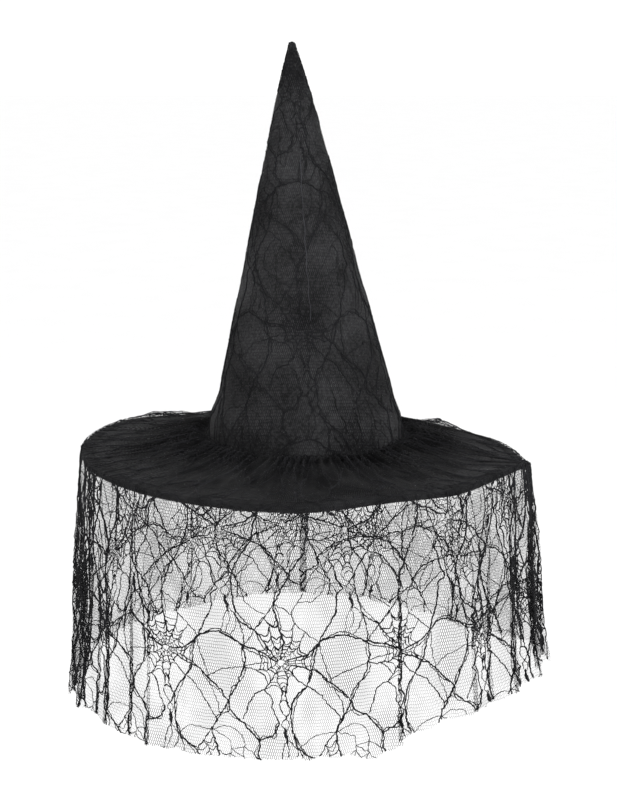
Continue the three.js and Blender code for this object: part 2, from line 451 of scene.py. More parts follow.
class ShaderGroups:
    """The effects that several finishes share, each built once as a node group."""

    def __init__(self) -> None:
        """Build every group."""
        self.net = self.build_net()
        self.weave = self.build_weave()
        self.ribs = self.build_ribs()
        self.mottle = self.build_mottle()
        self.lint = self.build_lint()

    @staticmethod
    def start(
        name: str, inputs: dict[str, tuple[str, float | None]], outputs: dict[str, str]
    ) -> tuple[NodeBench, Node, Node]:
        """Open a group.

        Args:
            name: The group's name.
            inputs: Kind and first value of each input, by name.
            outputs: Kind of each output, by name.

        Returns:
            The bench, the group's input node and its output node.
        """
        tree = bpy.data.node_groups.new(name, "ShaderNodeTree")
        for label, (kind, value) in inputs.items():
            made = tree.interface.new_socket(label, in_out="INPUT", socket_type=kind)
            if value is not None:
                made.default_value = value
        for label, kind in outputs.items():
            tree.interface.new_socket(label, in_out="OUTPUT", socket_type=kind)
        bench = NodeBench(tree)
        return bench, bench.add("NodeGroupInput"), bench.add("NodeGroupOutput")

    def build_net(self) -> Tree:
        """Six-sided bobbin net: a mask that is 1 on the threads and 0 in the holes."""
        inputs = {
            "Vector": ("NodeSocketVector", None),
            "Cell": ("NodeSocketFloat", 2.4 * MM),
            "Stretch": ("NodeSocketFloat", 1.85),
            "Thread Share": ("NodeSocketFloat", 0.11),
        }
        bench, given, result = self.start("six_sided_net", inputs, {"Mask": "NodeSocketFloat"})
        repeat = (1.0, math.sqrt(3.0), 1.0)
        half = (0.5, math.sqrt(3.0) / 2.0, 0.5)
        cells = bench.scaled(given.outputs["Vector"], bench.over(1.0, given.outputs["Cell"]))
        upright = bench.over(1.0, given.outputs["Stretch"])
        cells = bench.vector(
            "MULTIPLY", cells, bench.add("ShaderNodeCombineXYZ", {"X": 1.0, "Y": upright, "Z": 0.0})
        )
        wobble = bench.noise(cells, 0.12, 1.0, colour=True)
        wobble = bench.scaled(bench.vector("SUBTRACT", wobble, (0.5, 0.5, 0.5)), 0.2)
        cells = bench.vector("ADD", bench.vector("ADD", cells, wobble), (1000.0, 1000.0, 0.0))
        first = bench.vector("SUBTRACT", bench.vector("MODULO", cells, repeat), half)
        second = bench.vector("MODULO", bench.vector("SUBTRACT", cells, half), repeat)
        second = bench.vector("SUBTRACT", second, half)
        flat = (1.0, 1.0, 0.0)
        first = bench.vector("ABSOLUTE", bench.vector("MULTIPLY", first, flat))
        second = bench.vector("ABSOLUTE", bench.vector("MULTIPLY", second, flat))
        margins = []
        for spot in (first, second):
            slanted = bench.vector("DOT_PRODUCT", spot, (0.5, math.sqrt(3.0) / 2.0, 0.0), key="Value")
            slanted = bench.times(bench.minus(0.5, slanted), given.outputs["Stretch"])
            upright = bench.minus(0.5, bench.parts(spot)["X"])
            margins.append(bench.math("MINIMUM", slanted, upright))
        from_edge = bench.math("MAXIMUM", margins[0], margins[1])
        share = bench.times(given.outputs["Thread Share"], 0.5)
        ramp = bench.over(from_edge, share)
        bench.feed(result.inputs["Mask"], bench.range(ramp, 0.75, 1.25, 1.0, 0.0))
        return bench.tree

    def build_weave(self) -> Tree:
        """Plain weave: the height of the yarns and a mask of the gaps between them."""
        inputs = {"Vector": ("NodeSocketVector", None), "Yarn": ("NodeSocketFloat", 0.6 * MM)}
        outputs = {"Height": "NodeSocketFloat", "Gaps": "NodeSocketFloat"}
        bench, given, result = self.start("plain_weave", inputs, outputs)
        turns = bench.over(math.pi, given.outputs["Yarn"])
        slub = bench.scaled(bench.noise(given.outputs["Vector"], 90.0, 2.0, colour=True), 0.9 * MM)
        spot = bench.scaled(bench.vector("ADD", given.outputs["Vector"], slub), turns)
        parts = bench.parts(spot)
        across = bench.math("SINE", parts["X"])
        along = bench.math("SINE", parts["Y"])
        height = bench.plus(bench.times(bench.times(across, along), 0.5), 0.5)
        gap = bench.times(bench.math("ABSOLUTE", across), bench.math("ABSOLUTE", along))
        bench.feed(result.inputs["Height"], height)
        bench.feed(result.inputs["Gaps"], bench.range(gap, 0.0, 0.22, 1.0, 0.0))
        return bench.tree

    def build_ribs(self) -> Tree:
        """Rounded ribs that run across a ribbon or twist round a thread."""
        inputs = {
            "Vector": ("NodeSocketVector", None),
            "Spacing": ("NodeSocketFloat", 1.4 * MM),
            "Slant": ("NodeSocketFloat", 0.0),
        }
        bench, given, result = self.start("rounded_ribs", inputs, {"Height": "NodeSocketFloat"})
        parts = bench.parts(given.outputs["Vector"])
        lean = bench.times(parts["Y"], given.outputs["Slant"])
        walk = bench.over(bench.plus(parts["X"], lean), given.outputs["Spacing"])
        wave = bench.math("ABSOLUTE", bench.math("SINE", bench.times(walk, math.pi)))
        bench.feed(result.inputs["Height"], bench.math("POWER", wave, 0.6))
        return bench.tree

    def build_mottle(self) -> Tree:
        """Uneven dye and handling marks: a slow mask and a fine mask."""
        inputs = {"Vector": ("NodeSocketVector", None), "Size": ("NodeSocketFloat", 0.05)}
        outputs = {"Slow": "NodeSocketFloat", "Fine": "NodeSocketFloat"}
        bench, given, result = self.start("uneven_dye", inputs, outputs)
        rate = bench.over(1.0, given.outputs["Size"])
        slow = bench.noise(given.outputs["Vector"], rate, 3.0, 0.55)
        fine = bench.noise(given.outputs["Vector"], bench.times(rate, 22.0), 2.0, 0.6)
        bench.feed(result.inputs["Slow"], bench.range(slow, 0.3, 0.7))
        bench.feed(result.inputs["Fine"], bench.range(fine, 0.3, 0.7))
        return bench.tree

    def build_lint(self) -> Tree:
        """Sparse flecks of lint: a mask."""
        inputs = {"Vector": ("NodeSocketVector", None), "Amount": ("NodeSocketFloat", 0.3)}
        bench, given, result = self.start("lint_flecks", inputs, {"Mask": "NodeSocketFloat"})
        fleck = bench.noise(given.outputs["Vector"], 420.0, 1.0)
        where = bench.noise(given.outputs["Vector"], 40.0, 2.0)
        mask = bench.times(bench.range(fleck, 0.68, 0.78), bench.range(where, 0.45, 0.65))
        bench.feed(result.inputs["Mask"], bench.times(mask, given.outputs["Amount"]))
        return bench.tree


@dataclass(frozen=True)
class Finish:
    """What every finish has: a name, two shades that its colour drifts between (by uneven dye and grain, and
    in the ribbed finishes by painted shade across the ribs), and its plain surface values.
    """

    name: str
    dark: Colour
    light: Colour
    roughness: float = 0.85
    specular: float = 0.3
    sheen: float = 0.0
    metallic: float = 0.0

    def start(self) -> tuple[Material, NodeBench, Node]:
        """Open the material and set the values that are the same all over.

        Returns:
            The material, its bench and its Principled shader.
        """
        material = bpy.data.materials.new(self.name)
        material.use_nodes = True
        bench = NodeBench(material.node_tree)
        shader = next(n for n in material.node_tree.nodes if n.type == "BSDF_PRINCIPLED")
        shader.inputs["Roughness"].default_value = self.roughness
        shader.inputs["Specular IOR Level"].default_value = self.specular
        shader.inputs["Sheen Weight"].default_value = self.sheen
        shader.inputs["Sheen Roughness"].default_value = 0.4
        shader.inputs["Metallic"].default_value = self.metallic
        return material, bench, shader

    @staticmethod
    def group(bench: NodeBench, tree: Tree, feeds: dict[str | int, Feed]) -> Node:
        """Place a shader group."""
        node = bench.tree.nodes.new("ShaderNodeGroup")
        node.node_tree = tree
        for key, value in feeds.items():
            bench.feed(bench.socket(node.inputs, key), value)
        return node

    @staticmethod
    def coordinates(bench: NodeBench, own: bool = True) -> Socket:
        """The piece's own UV map in metres, or its Object coordinates."""
        return bench.add("ShaderNodeTexCoord").outputs["UV" if own else "Object"]

    def bump(
        self, bench: NodeBench, shader: Node, height: Feed, distance: float, strength: float = 1.0
    ) -> None:
        """Turn a height into the shader's normal."""
        feeds = {"Height": height, "Distance": distance, "Strength": strength}
        bench.feed(shader.inputs["Normal"], bench.add("ShaderNodeBump", feeds).outputs[0])


@dataclass(frozen=True)
class WovenFinish(Finish):
    """Plain woven cloth, felt-like when its yarn is fine and its dye is uneven."""

    yarn: float = 0.6 * MM
    relief: float = 0.12 * MM
    dye_size: float = 0.06
    lint: float = 0.12
    # Amount of the crease lines: dents in the bump and painted shade darkening the colour along them.
    crease_dents_and_shade: float = 0.0

    def build(self, groups: ShaderGroups) -> Material:
        """Make the material."""
        material, bench, shader = self.start()
        flat, solid = self.coordinates(bench), self.coordinates(bench, own=False)
        weave = self.group(bench, groups.weave, {"Vector": flat, "Yarn": self.yarn})
        dye = self.group(bench, groups.mottle, {"Vector": solid, "Size": self.dye_size})
        lint = self.group(bench, groups.lint, {"Vector": solid, "Amount": self.lint})
        share = bench.math("MULTIPLY_ADD", dye.outputs["Fine"], 0.5, bench.times(dye.outputs["Slow"], 0.5))
        colour = bench.mix(share, self.dark, self.light)
        # Painted shade: along the crease lines the colour goes dark, towards 0.3 of the dark shade, where
        # shade falls; the same mask also dents the bump.
        upright = bench.vector("MULTIPLY", solid, (1.0, 1.0, 0.4))
        ridge = bench.math("ABSOLUTE", bench.minus(bench.noise(upright, 42.0, 3.0, 0.5), 0.5))
        where = bench.range(bench.noise(solid, 11.0, 1.0), 0.42, 0.6)
        crease = bench.times(bench.range(ridge, 0.0, 0.02, 1.0, 0.0), bench.times(where, self.crease_dents_and_shade))
        colour = bench.mix(crease, colour, tuple(0.3 * c for c in self.dark))
        # Painted shade: the colour goes darker in the gaps between the yarns, where shade falls.
        gaps = bench.times(weave.outputs["Gaps"], 0.45)
        colour = bench.mix(gaps, colour, tuple(0.35 * c for c in self.dark))
        colour = bench.mix(lint.outputs["Mask"], colour, (0.16, 0.16, 0.165))
        bench.feed(shader.inputs["Base Color"], colour)
        bench.feed(
            shader.inputs["Roughness"],
            bench.range(dye.outputs["Fine"], 0, 1, self.roughness - 0.06, self.roughness + 0.06),
        )
        height = bench.math("MULTIPLY_ADD", dye.outputs["Fine"], 0.8, weave.outputs["Height"])
        height = bench.math("MULTIPLY_ADD", crease, -5.0, height)
        self.bump(bench, shader, height, self.relief)
        return material


@dataclass(frozen=True)
class RibbedFinish(Finish):
    """Ribbed ribbon, woven tape, or the twist of a sewing thread."""

    spacing: float = 1.4 * MM
    slant: float = 0.0
    relief: float = 0.2 * MM
    own_map: bool = True

    def build(self, groups: ShaderGroups) -> Material:
        """Make the material."""
        material, bench, shader = self.start()
        flat, solid = self.coordinates(bench, self.own_map), self.coordinates(bench, own=False)
        ribs = self.group(bench, groups.ribs, {"Vector": flat, "Spacing": self.spacing, "Slant": self.slant})
        dye = self.group(bench, groups.mottle, {"Vector": solid, "Size": 0.03})
        # Painted shade and highlight: the colour follows the rib heights of the bump, dark in the furrows and
        # light on the crests, scaled by the uneven dye.
        share = bench.times(ribs.outputs["Height"], bench.range(dye.outputs["Slow"], 0, 1, 0.55, 1.0))
        bench.feed(shader.inputs["Base Color"], bench.mix(share, self.dark, self.light))
        bench.feed(
            shader.inputs["Roughness"],
            bench.range(dye.outputs["Fine"], 0, 1, self.roughness - 0.07, self.roughness + 0.07),
        )
        self.bump(bench, shader, ribs.outputs["Height"], self.relief)
        return material


@dataclass(frozen=True)
class NetFinish(Finish):
    """Fine six-sided net: threads with open holes between them, worked closer under the arches of the web."""

    cell: float = 1.95 * MM
    stretch: float = 1.85
    thin_share: float = 0.13
    thick_share: float = 0.285
    # Extra thread share over the brim towards the crown's foot: partly the closer gathered lace, partly
    # painted shade of the gathers.
    gathered_and_shade_share: float = 0.29
    # Painted shade: extra thread share that makes the net denser and darker over the front of the brim.
    front_shade_share: float = 0.28
    pitch: float = 116.0 * MM
    drop: float = 125.0 * MM
    row_start: float = 152.0 * MM

    def build(self, groups: ShaderGroups) -> Material:
        """Make the material."""
        material, bench, shader = self.start()
        flat = self.coordinates(bench)
        share = bench.range(self.closeness(bench, flat), 0.0, 1.0, self.thin_share, self.thick_share)
        parts = bench.parts(flat)
        # Partly painted shade: the net is worked thicker over the brim towards the crown's foot, for the
        # closer gathers and for their shade.
        share = bench.plus(share, bench.range(parts["Y"], 0.0, 0.08, 0.0, self.gathered_and_shade_share))
        # Painted shade: a denser dark net over the front of the brim, where the brim lies in shade.
        front = bench.range(bench.math("ABSOLUTE", parts["X"]), 0.08, 0.3, self.front_shade_share, 0.0)
        front = bench.times(front, bench.range(parts["Y"], 0.0, 0.02))
        share = bench.plus(share, front)
        feeds = {"Vector": flat, "Cell": self.cell, "Stretch": self.stretch, "Thread Share": share}
        net = self.group(bench, groups.net, feeds)
        dye = self.group(bench, groups.mottle, {"Vector": flat, "Size": 0.04})
        bench.feed(shader.inputs["Base Color"], bench.mix(dye.outputs["Slow"], self.dark, self.light))
        bench.feed(shader.inputs["Alpha"], net.outputs["Mask"])
        return material

    def closeness(self, bench: NodeBench, flat: Socket) -> Socket:
        """How closely the ground is worked, from the web's repeat and a slow unevenness."""
        parts = bench.parts(flat)
        across = bench.math("COSINE", bench.times(parts["X"], TURN / self.pitch))
        height = bench.plus(parts["Y"], self.row_start)
        along = bench.math("COSINE", bench.times(height, math.pi / self.drop))
        pattern = bench.times(bench.times(across, along), -0.45)
        uneven = bench.range(bench.noise(flat, 30.0, 1.0), 0.25, 0.75, 0.2, 0.65)
        return bench.plus(pattern, uneven)


@dataclass(frozen=True)
class GrainFinish(Finish):
    """Felt, foam or drawn metal: a grain of a given size and depth."""

    grain: float = 1.0 * MM
    relief: float = 0.2 * MM
    stretch: Colour = (1.0, 1.0, 1.0)

    def build(self, groups: ShaderGroups) -> Material:
        """Make the material."""
        material, bench, shader = self.start()
        solid = self.coordinates(bench, own=False)
        placed = bench.add("ShaderNodeMapping", {"Vector": solid, "Scale": self.stretch}).outputs[0]
        grain = bench.noise(placed, 1.0 / self.grain, 4.0, 0.65)
        dye = self.group(bench, groups.mottle, {"Vector": solid, "Size": 0.04})
        share = bench.times(bench.range(grain, 0.3, 0.7), bench.range(dye.outputs["Slow"], 0, 1, 0.6, 1.0))
        bench.feed(shader.inputs["Base Color"], bench.mix(share, self.dark, self.light))
        bench.feed(
            shader.inputs["Roughness"],
            bench.range(grain, 0.3, 0.7, self.roughness - 0.08, self.roughness + 0.08),
        )
        self.bump(bench, shader, grain, self.relief)
        return material


class Wardrobe:
    """Every finish of the hat, built once and handed out by name."""

    def __init__(self) -> None:
        """Build the groups and the materials."""
        groups = ShaderGroups()
        self.cloth = WovenFinish(
            "hat_cloth", (0.012, 0.012, 0.0125), (0.064, 0.064, 0.067), 0.92, 0.06, 0.03, crease_dents_and_shade=0.7
        ).build(groups)
        self.lining = WovenFinish(
            "lining_taffeta", (0.010, 0.010, 0.011), (0.022, 0.022, 0.024), 0.55, 0.4, yarn=0.4 * MM,
            relief=0.06 * MM
        ).build(groups)
        self.net = NetFinish(
            "lace_ground", (0.004, 0.004, 0.0045), (0.017, 0.017, 0.0175), 0.85, 0.06
        ).build(groups)
        self.web = RibbedFinish(
            "lace_cord", (0.004, 0.004, 0.004), (0.021, 0.021, 0.024), 0.85, 0.08, 0.03,
            spacing=0.9 * MM, slant=0.8, relief=0.1 * MM, own_map=False,
        ).build(groups)
        self.ribbon = RibbedFinish(
            "grosgrain", (0.008, 0.008, 0.009), (0.030, 0.030, 0.033), 0.5, 0.4
        ).build(groups)
        self.tape = RibbedFinish(
            "twill_tape", (0.009, 0.009, 0.0095), (0.036, 0.036, 0.038), 0.85, 0.08, spacing=0.8 * MM,
            slant=1.0, relief=0.08 * MM
        ).build(groups)
        self.thread = RibbedFinish(
            "sewing_cotton", (0.003, 0.003, 0.003), (0.011, 0.011, 0.012), 0.8, 0.08,
            spacing=0.5 * MM, slant=0.9, relief=0.06 * MM, own_map=False,
        ).build(groups)
        self.satin = WovenFinish(
            "label_satin", (0.72, 0.71, 0.69), (0.82, 0.81, 0.79), 0.35, 0.5, yarn=0.3 * MM, relief=0.03 * MM,
            lint=0.0
        ).build(groups)
        # Partly painted highlight: a loose yarn of a lighter bluish colour, laid down the crown's crease to
        # give the light line of the crease's sheen.
        self.yarn = RibbedFinish(
            "loose_yarn", (0.02, 0.02, 0.023), (0.062, 0.062, 0.072), 0.7, 0.2, spacing=0.5 * MM, slant=0.9,
            relief=0.06 * MM, own_map=False
        ).build(groups)
        self.felt = GrainFinish(
            "needle_felt", (0.02, 0.02, 0.022), (0.06, 0.06, 0.064), 0.95, 0.1, grain=1.5 * MM
        ).build(groups)
        self.foam = GrainFinish(
            "foam_board", (0.5, 0.5, 0.48), (0.78, 0.77, 0.74), 0.9, 0.2, grain=0.8 * MM
        ).build(groups)
        self.steel = GrainFinish(
            "spring_steel", (0.32, 0.32, 0.33), (0.55, 0.55, 0.56), 0.35, 0.5, metallic=1.0, relief=0.01 * MM,
            stretch=(1, 1, 9)
        ).build(groups)
        self.aluminium = GrainFinish(
            "ferrule_metal", (0.55, 0.55, 0.56), (0.75, 0.75, 0.76), 0.4, 0.5, metallic=1.0, relief=0.01 * MM,
            stretch=(4, 1, 1)
        ).build(groups)


def dress(piece: Piece, material: Material, slot: Slot, *nodes: str) -> Piece:
    """Give a finished piece its material, its place in the frame and the nodes it stands for.

    Args:
        piece: The finished mesh object.
        material: Its finish.
        slot: Not used.
        *nodes: CAD nodes that the piece replaces.

    Returns:
        The same piece.
    """
    if not piece.data.materials:
        piece.data.materials.append(material)
    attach(piece, HAT)
    if nodes:
        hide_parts(*nodes)
    LOG.info(
        "%-22s %6d faces, stands for %s", piece.name, len(piece.data.polygons), ", ".join(nodes) or "detail"
    )
    return piece


# ---- Geometry Nodes: web threads mapped on a sheet, and rows of stitches along a path ----


class Maker:
    """A Geometry Nodes tree with named inputs, and the steps that turn its result into a plain mesh."""

    def __init__(self, name: str, inputs: dict[str, tuple[str, object]]) -> None:
        """Open the tree.

        Args:
            name: The tree's name.
            inputs: Kind and first value of each input beside the geometry, by name.
        """
        tree = bpy.data.node_groups.new(name, "GeometryNodeTree")
        tree.interface.new_socket("Geometry", in_out="INPUT", socket_type="NodeSocketGeometry")
        tree.interface.new_socket("Geometry", in_out="OUTPUT", socket_type="NodeSocketGeometry")
        for label, (kind, value) in inputs.items():
            made = tree.interface.new_socket(label, in_out="INPUT", socket_type=kind)
            if value is not None:
                made.default_value = value
        self.bench = NodeBench(tree)
        self.given = self.bench.add("NodeGroupInput")
        self.wire()

    def wire(self) -> None:
        """Add the tree's nodes; each maker has its own."""
        raise NotImplementedError

    def close(self, geometry: Feed) -> None:
        """End the tree: one realized mesh, smooth, with its material."""
        bench = self.bench
        real = bench.add("GeometryNodeRealizeInstances", {"Geometry": geometry})
        soft = bench.add("GeometryNodeSetShadeSmooth", {"Geometry": real})
        dressed = bench.add(
            "GeometryNodeSetMaterial", {"Geometry": soft, "Material": self.given.outputs["Finish"]}
        )
        bench.add("NodeGroupOutput", {"Geometry": dressed})

    def run(self, carrier: Piece, name: str, **values: object) -> Piece:
        """Evaluate the tree on a carrier object.

        Args:
            carrier: The object whose geometry goes in; it stays as it is.
            name: The new piece's name.
            **values: The tree's inputs, their spaces written as underscores.

        Returns:
            A plain mesh object with the result.
        """
        modifier = carrier.modifiers.new(name, "NODES")
        modifier.node_group = self.bench.tree
        for item in self.bench.tree.interface.items_tree:
            key = item.name.replace(" ", "_")
            if item.item_type == "SOCKET" and item.in_out == "INPUT" and key in values:
                modifier[item.identifier] = values[key]
        graph = bpy.context.evaluated_depsgraph_get()
        mesh = bpy.data.meshes.new_from_object(
            carrier.evaluated_get(graph), preserve_all_data_layers=True, depsgraph=graph
        )
        carrier.modifiers.remove(modifier)
        mesh.name = name
        return add_object(name, mesh)


class WebMaker(Maker):
    """Lays a half-dropped repeat of web threads on a sheet, through the sheet's own UV map."""

    def __init__(self) -> None:
        """Name the inputs and build the tree."""
        super().__init__(
            "web_threads",
            {
                "Even Row": ("NodeSocketObject", None),
                "Odd Row": ("NodeSocketObject", None),
                "Columns": ("NodeSocketInt", 4),
                "Rows": ("NodeSocketInt", 2),
                "Pitch": ("NodeSocketFloat", 0.116),
                "Row Drop": ("NodeSocketFloat", 0.125),
                "Centre": ("NodeSocketVector", (0.0, 0.0, 0.0)),
                "Turn": ("NodeSocketFloat", 0.0),
                "Wander": ("NodeSocketFloat", 3.0 * MM),
                "Thickness": ("NodeSocketFloat", 1.0),
                "Finish": ("NodeSocketMaterial", None),
            },
        )

    def wire(self) -> None:
        """Grid of repeats, flat threads, sheet positions, then thread bodies."""
        flat = self.lay_flat()
        placed = self.place(flat)
        self.close(self.thicken(placed))

    def lay_flat(self) -> Node:
        """Instance the repeat on a half-dropped grid and turn it."""
        bench, given = self.bench, self.given.outputs
        columns, rows, pitch, drop = given["Columns"], given["Rows"], given["Pitch"], given["Row Drop"]
        feeds = {
            "Size X": bench.times(bench.minus(columns, 1.0), pitch),
            "Size Y": bench.times(bench.minus(rows, 1.0), drop),
            "Vertices X": columns,
            "Vertices Y": rows,
        }
        grid = bench.add("GeometryNodeMeshGrid", feeds)
        height = bench.parts(bench.add("GeometryNodeInputPosition"))["Y"]
        row = bench.plus(bench.over(height, drop), bench.over(bench.minus(rows, 1.0), 2.0))
        odd = bench.math("MODULO", bench.math("ROUND", row), 2.0)
        shift = bench.add("ShaderNodeCombineXYZ", {"X": bench.times(odd, bench.times(pitch, 0.5))})
        moved = bench.add("GeometryNodeSetPosition", {"Geometry": grid.outputs["Mesh"], "Offset": shift})
        rows_drawn = bench.add("GeometryNodeJoinGeometry")
        for label in ("Odd Row", "Even Row"):
            drawn = bench.add("GeometryNodeObjectInfo", {"Object": given[label]}).outputs["Geometry"]
            bench.feed(rows_drawn.inputs[0], bench.add("GeometryNodeGeometryToInstance", {0: drawn}))
        feeds = {"Points": moved, "Instance": rows_drawn, "Pick Instance": True, "Instance Index": odd}
        spread = bench.add("GeometryNodeInstanceOnPoints", feeds)
        real = bench.add("GeometryNodeRealizeInstances", {"Geometry": spread})
        turn = bench.add("ShaderNodeCombineXYZ", {"Z": given["Turn"]})
        return bench.add(
            "GeometryNodeTransform", {"Geometry": real, "Translation": given["Centre"], "Rotation": turn}
        )

    def place(self, flat: Node) -> Node:
        """Let the threads wander, drop what falls off the sheet and move the rest onto it."""
        bench = self.bench
        spot = bench.spot()
        drift = bench.vector("SUBTRACT", bench.noise(spot, 26.0, 1.0, colour=True), (0.5, 0.5, 0.5))
        tremble = bench.vector("SUBTRACT", bench.noise(spot, 300.0, 1.0, colour=True), (0.5, 0.5, 0.5))
        wander = self.given.outputs["Wander"]
        tremble = bench.scaled(tremble, bench.times(wander, 1.5))
        offset = bench.vector("ADD", bench.scaled(drift, bench.times(wander, 3.0)), tremble)
        loose = bench.add(
            "GeometryNodeSetPosition",
            {"Geometry": flat, "Offset": bench.vector("MULTIPLY", offset, (1, 1, 0))},
        )
        sheet_map = bench.add("GeometryNodeInputNamedAttribute", {"Name": UV_NAME}, data_type="FLOAT_VECTOR")
        feeds = {
            "Mesh": self.given.outputs["Geometry"],
            "Value": bench.spot(),
            "Source UV Map": sheet_map.outputs[0],
            "Sample UV": bench.spot(),
        }
        sampled = bench.add("GeometryNodeSampleUVSurface", feeds, data_type="FLOAT_VECTOR")
        missed = bench.add("FunctionNodeBooleanMath", {0: sampled.outputs["Is Valid"]}, operation="NOT")
        kept = bench.add(
            "GeometryNodeDeleteGeometry", {"Geometry": loose, "Selection": missed}, domain="POINT"
        )
        return bench.add("GeometryNodeSetPosition", {"Geometry": kept, "Position": sampled.outputs["Value"]})

    def thicken(self, placed: Node) -> Node:
        """Sweep a four-sided thread along every line."""
        bench = self.bench
        lines = bench.add("GeometryNodeMeshToCurve", {"Mesh": placed})
        section = bench.add("GeometryNodeCurvePrimitiveCircle", {"Resolution": 4, "Radius": 1.0})
        drawn = bench.add("GeometryNodeInputNamedAttribute", {"Name": RADIUS_NAME}, data_type="FLOAT")
        slub = bench.noise(bench.spot(), 330.0, 1.0)
        radius = bench.times(drawn.outputs[0], bench.range(slub, 0.25, 0.75, 0.7, 1.35))
        radius = bench.times(radius, self.given.outputs["Thickness"])
        feeds = {"Curve": lines, "Profile Curve": section, "Scale": radius, "Fill Caps": True}
        return bench.add("GeometryNodeCurveToMesh", feeds)


class StitchMaker(Maker):
    """Sets stitches end to end along a path."""

    def __init__(self) -> None:
        """Name the inputs and build the tree."""
        super().__init__(
            "stitch_row",
            {
                "Spacing": ("NodeSocketFloat", 3.4 * MM),
                "Stitch": ("NodeSocketFloat", 2.8 * MM),
                "Thread": ("NodeSocketFloat", 0.5 * MM),
                "Finish": ("NodeSocketMaterial", None),
            },
        )

    def wire(self) -> None:
        """Path to points, points to stitches."""
        bench, given = self.bench, self.given.outputs
        path = bench.add("GeometryNodeMeshToCurve", {"Mesh": given["Geometry"]})
        points = bench.add(
            "GeometryNodeCurveToPoints", {"Curve": path, "Length": given["Spacing"]}, mode="LENGTH"
        )
        body = bench.add("GeometryNodeMeshUVSphere", {"Segments": 6, "Rings": 5, "Radius": 0.5})
        size = bench.add(
            "ShaderNodeCombineXYZ", {"X": given["Thread"], "Y": given["Thread"], "Z": given["Stitch"]}
        )
        feeds = {
            "Points": points.outputs["Points"],
            "Instance": body.outputs["Mesh"],
            "Rotation": points.outputs["Rotation"],
            "Scale": size,
        }
        self.close(bench.add("GeometryNodeInstanceOnPoints", feeds))

    def row(self, name: str, path: Array, finish: Material, closed: bool = True, **values: float) -> Piece:
        """Make one row of stitches.

        Args:
            name: The piece's name.
            path: Points that the row follows.
            finish: The thread's material.
            closed: Whether the last point joins the first.
            **values: Spacing, stitch length and thread width where they differ.

        Returns:
            The row as a plain mesh object.
        """
        count = len(path)
        mesh = bpy.data.meshes.new("stitch_path")
        ends = count if closed else count - 1
        mesh.from_pydata(path.tolist(), [(i, (i + 1) % count) for i in range(ends)], [])
        carrier = add_object("stitch_path", mesh)
        piece = self.run(carrier, name, Finish=finish, **values)
        bpy.data.objects.remove(carrier)
        return piece


class Row(Enum):
    """The two rows that the lace repeat alternates between."""

    OVALS = "closed ovals"
    DROPS = "long open cells"


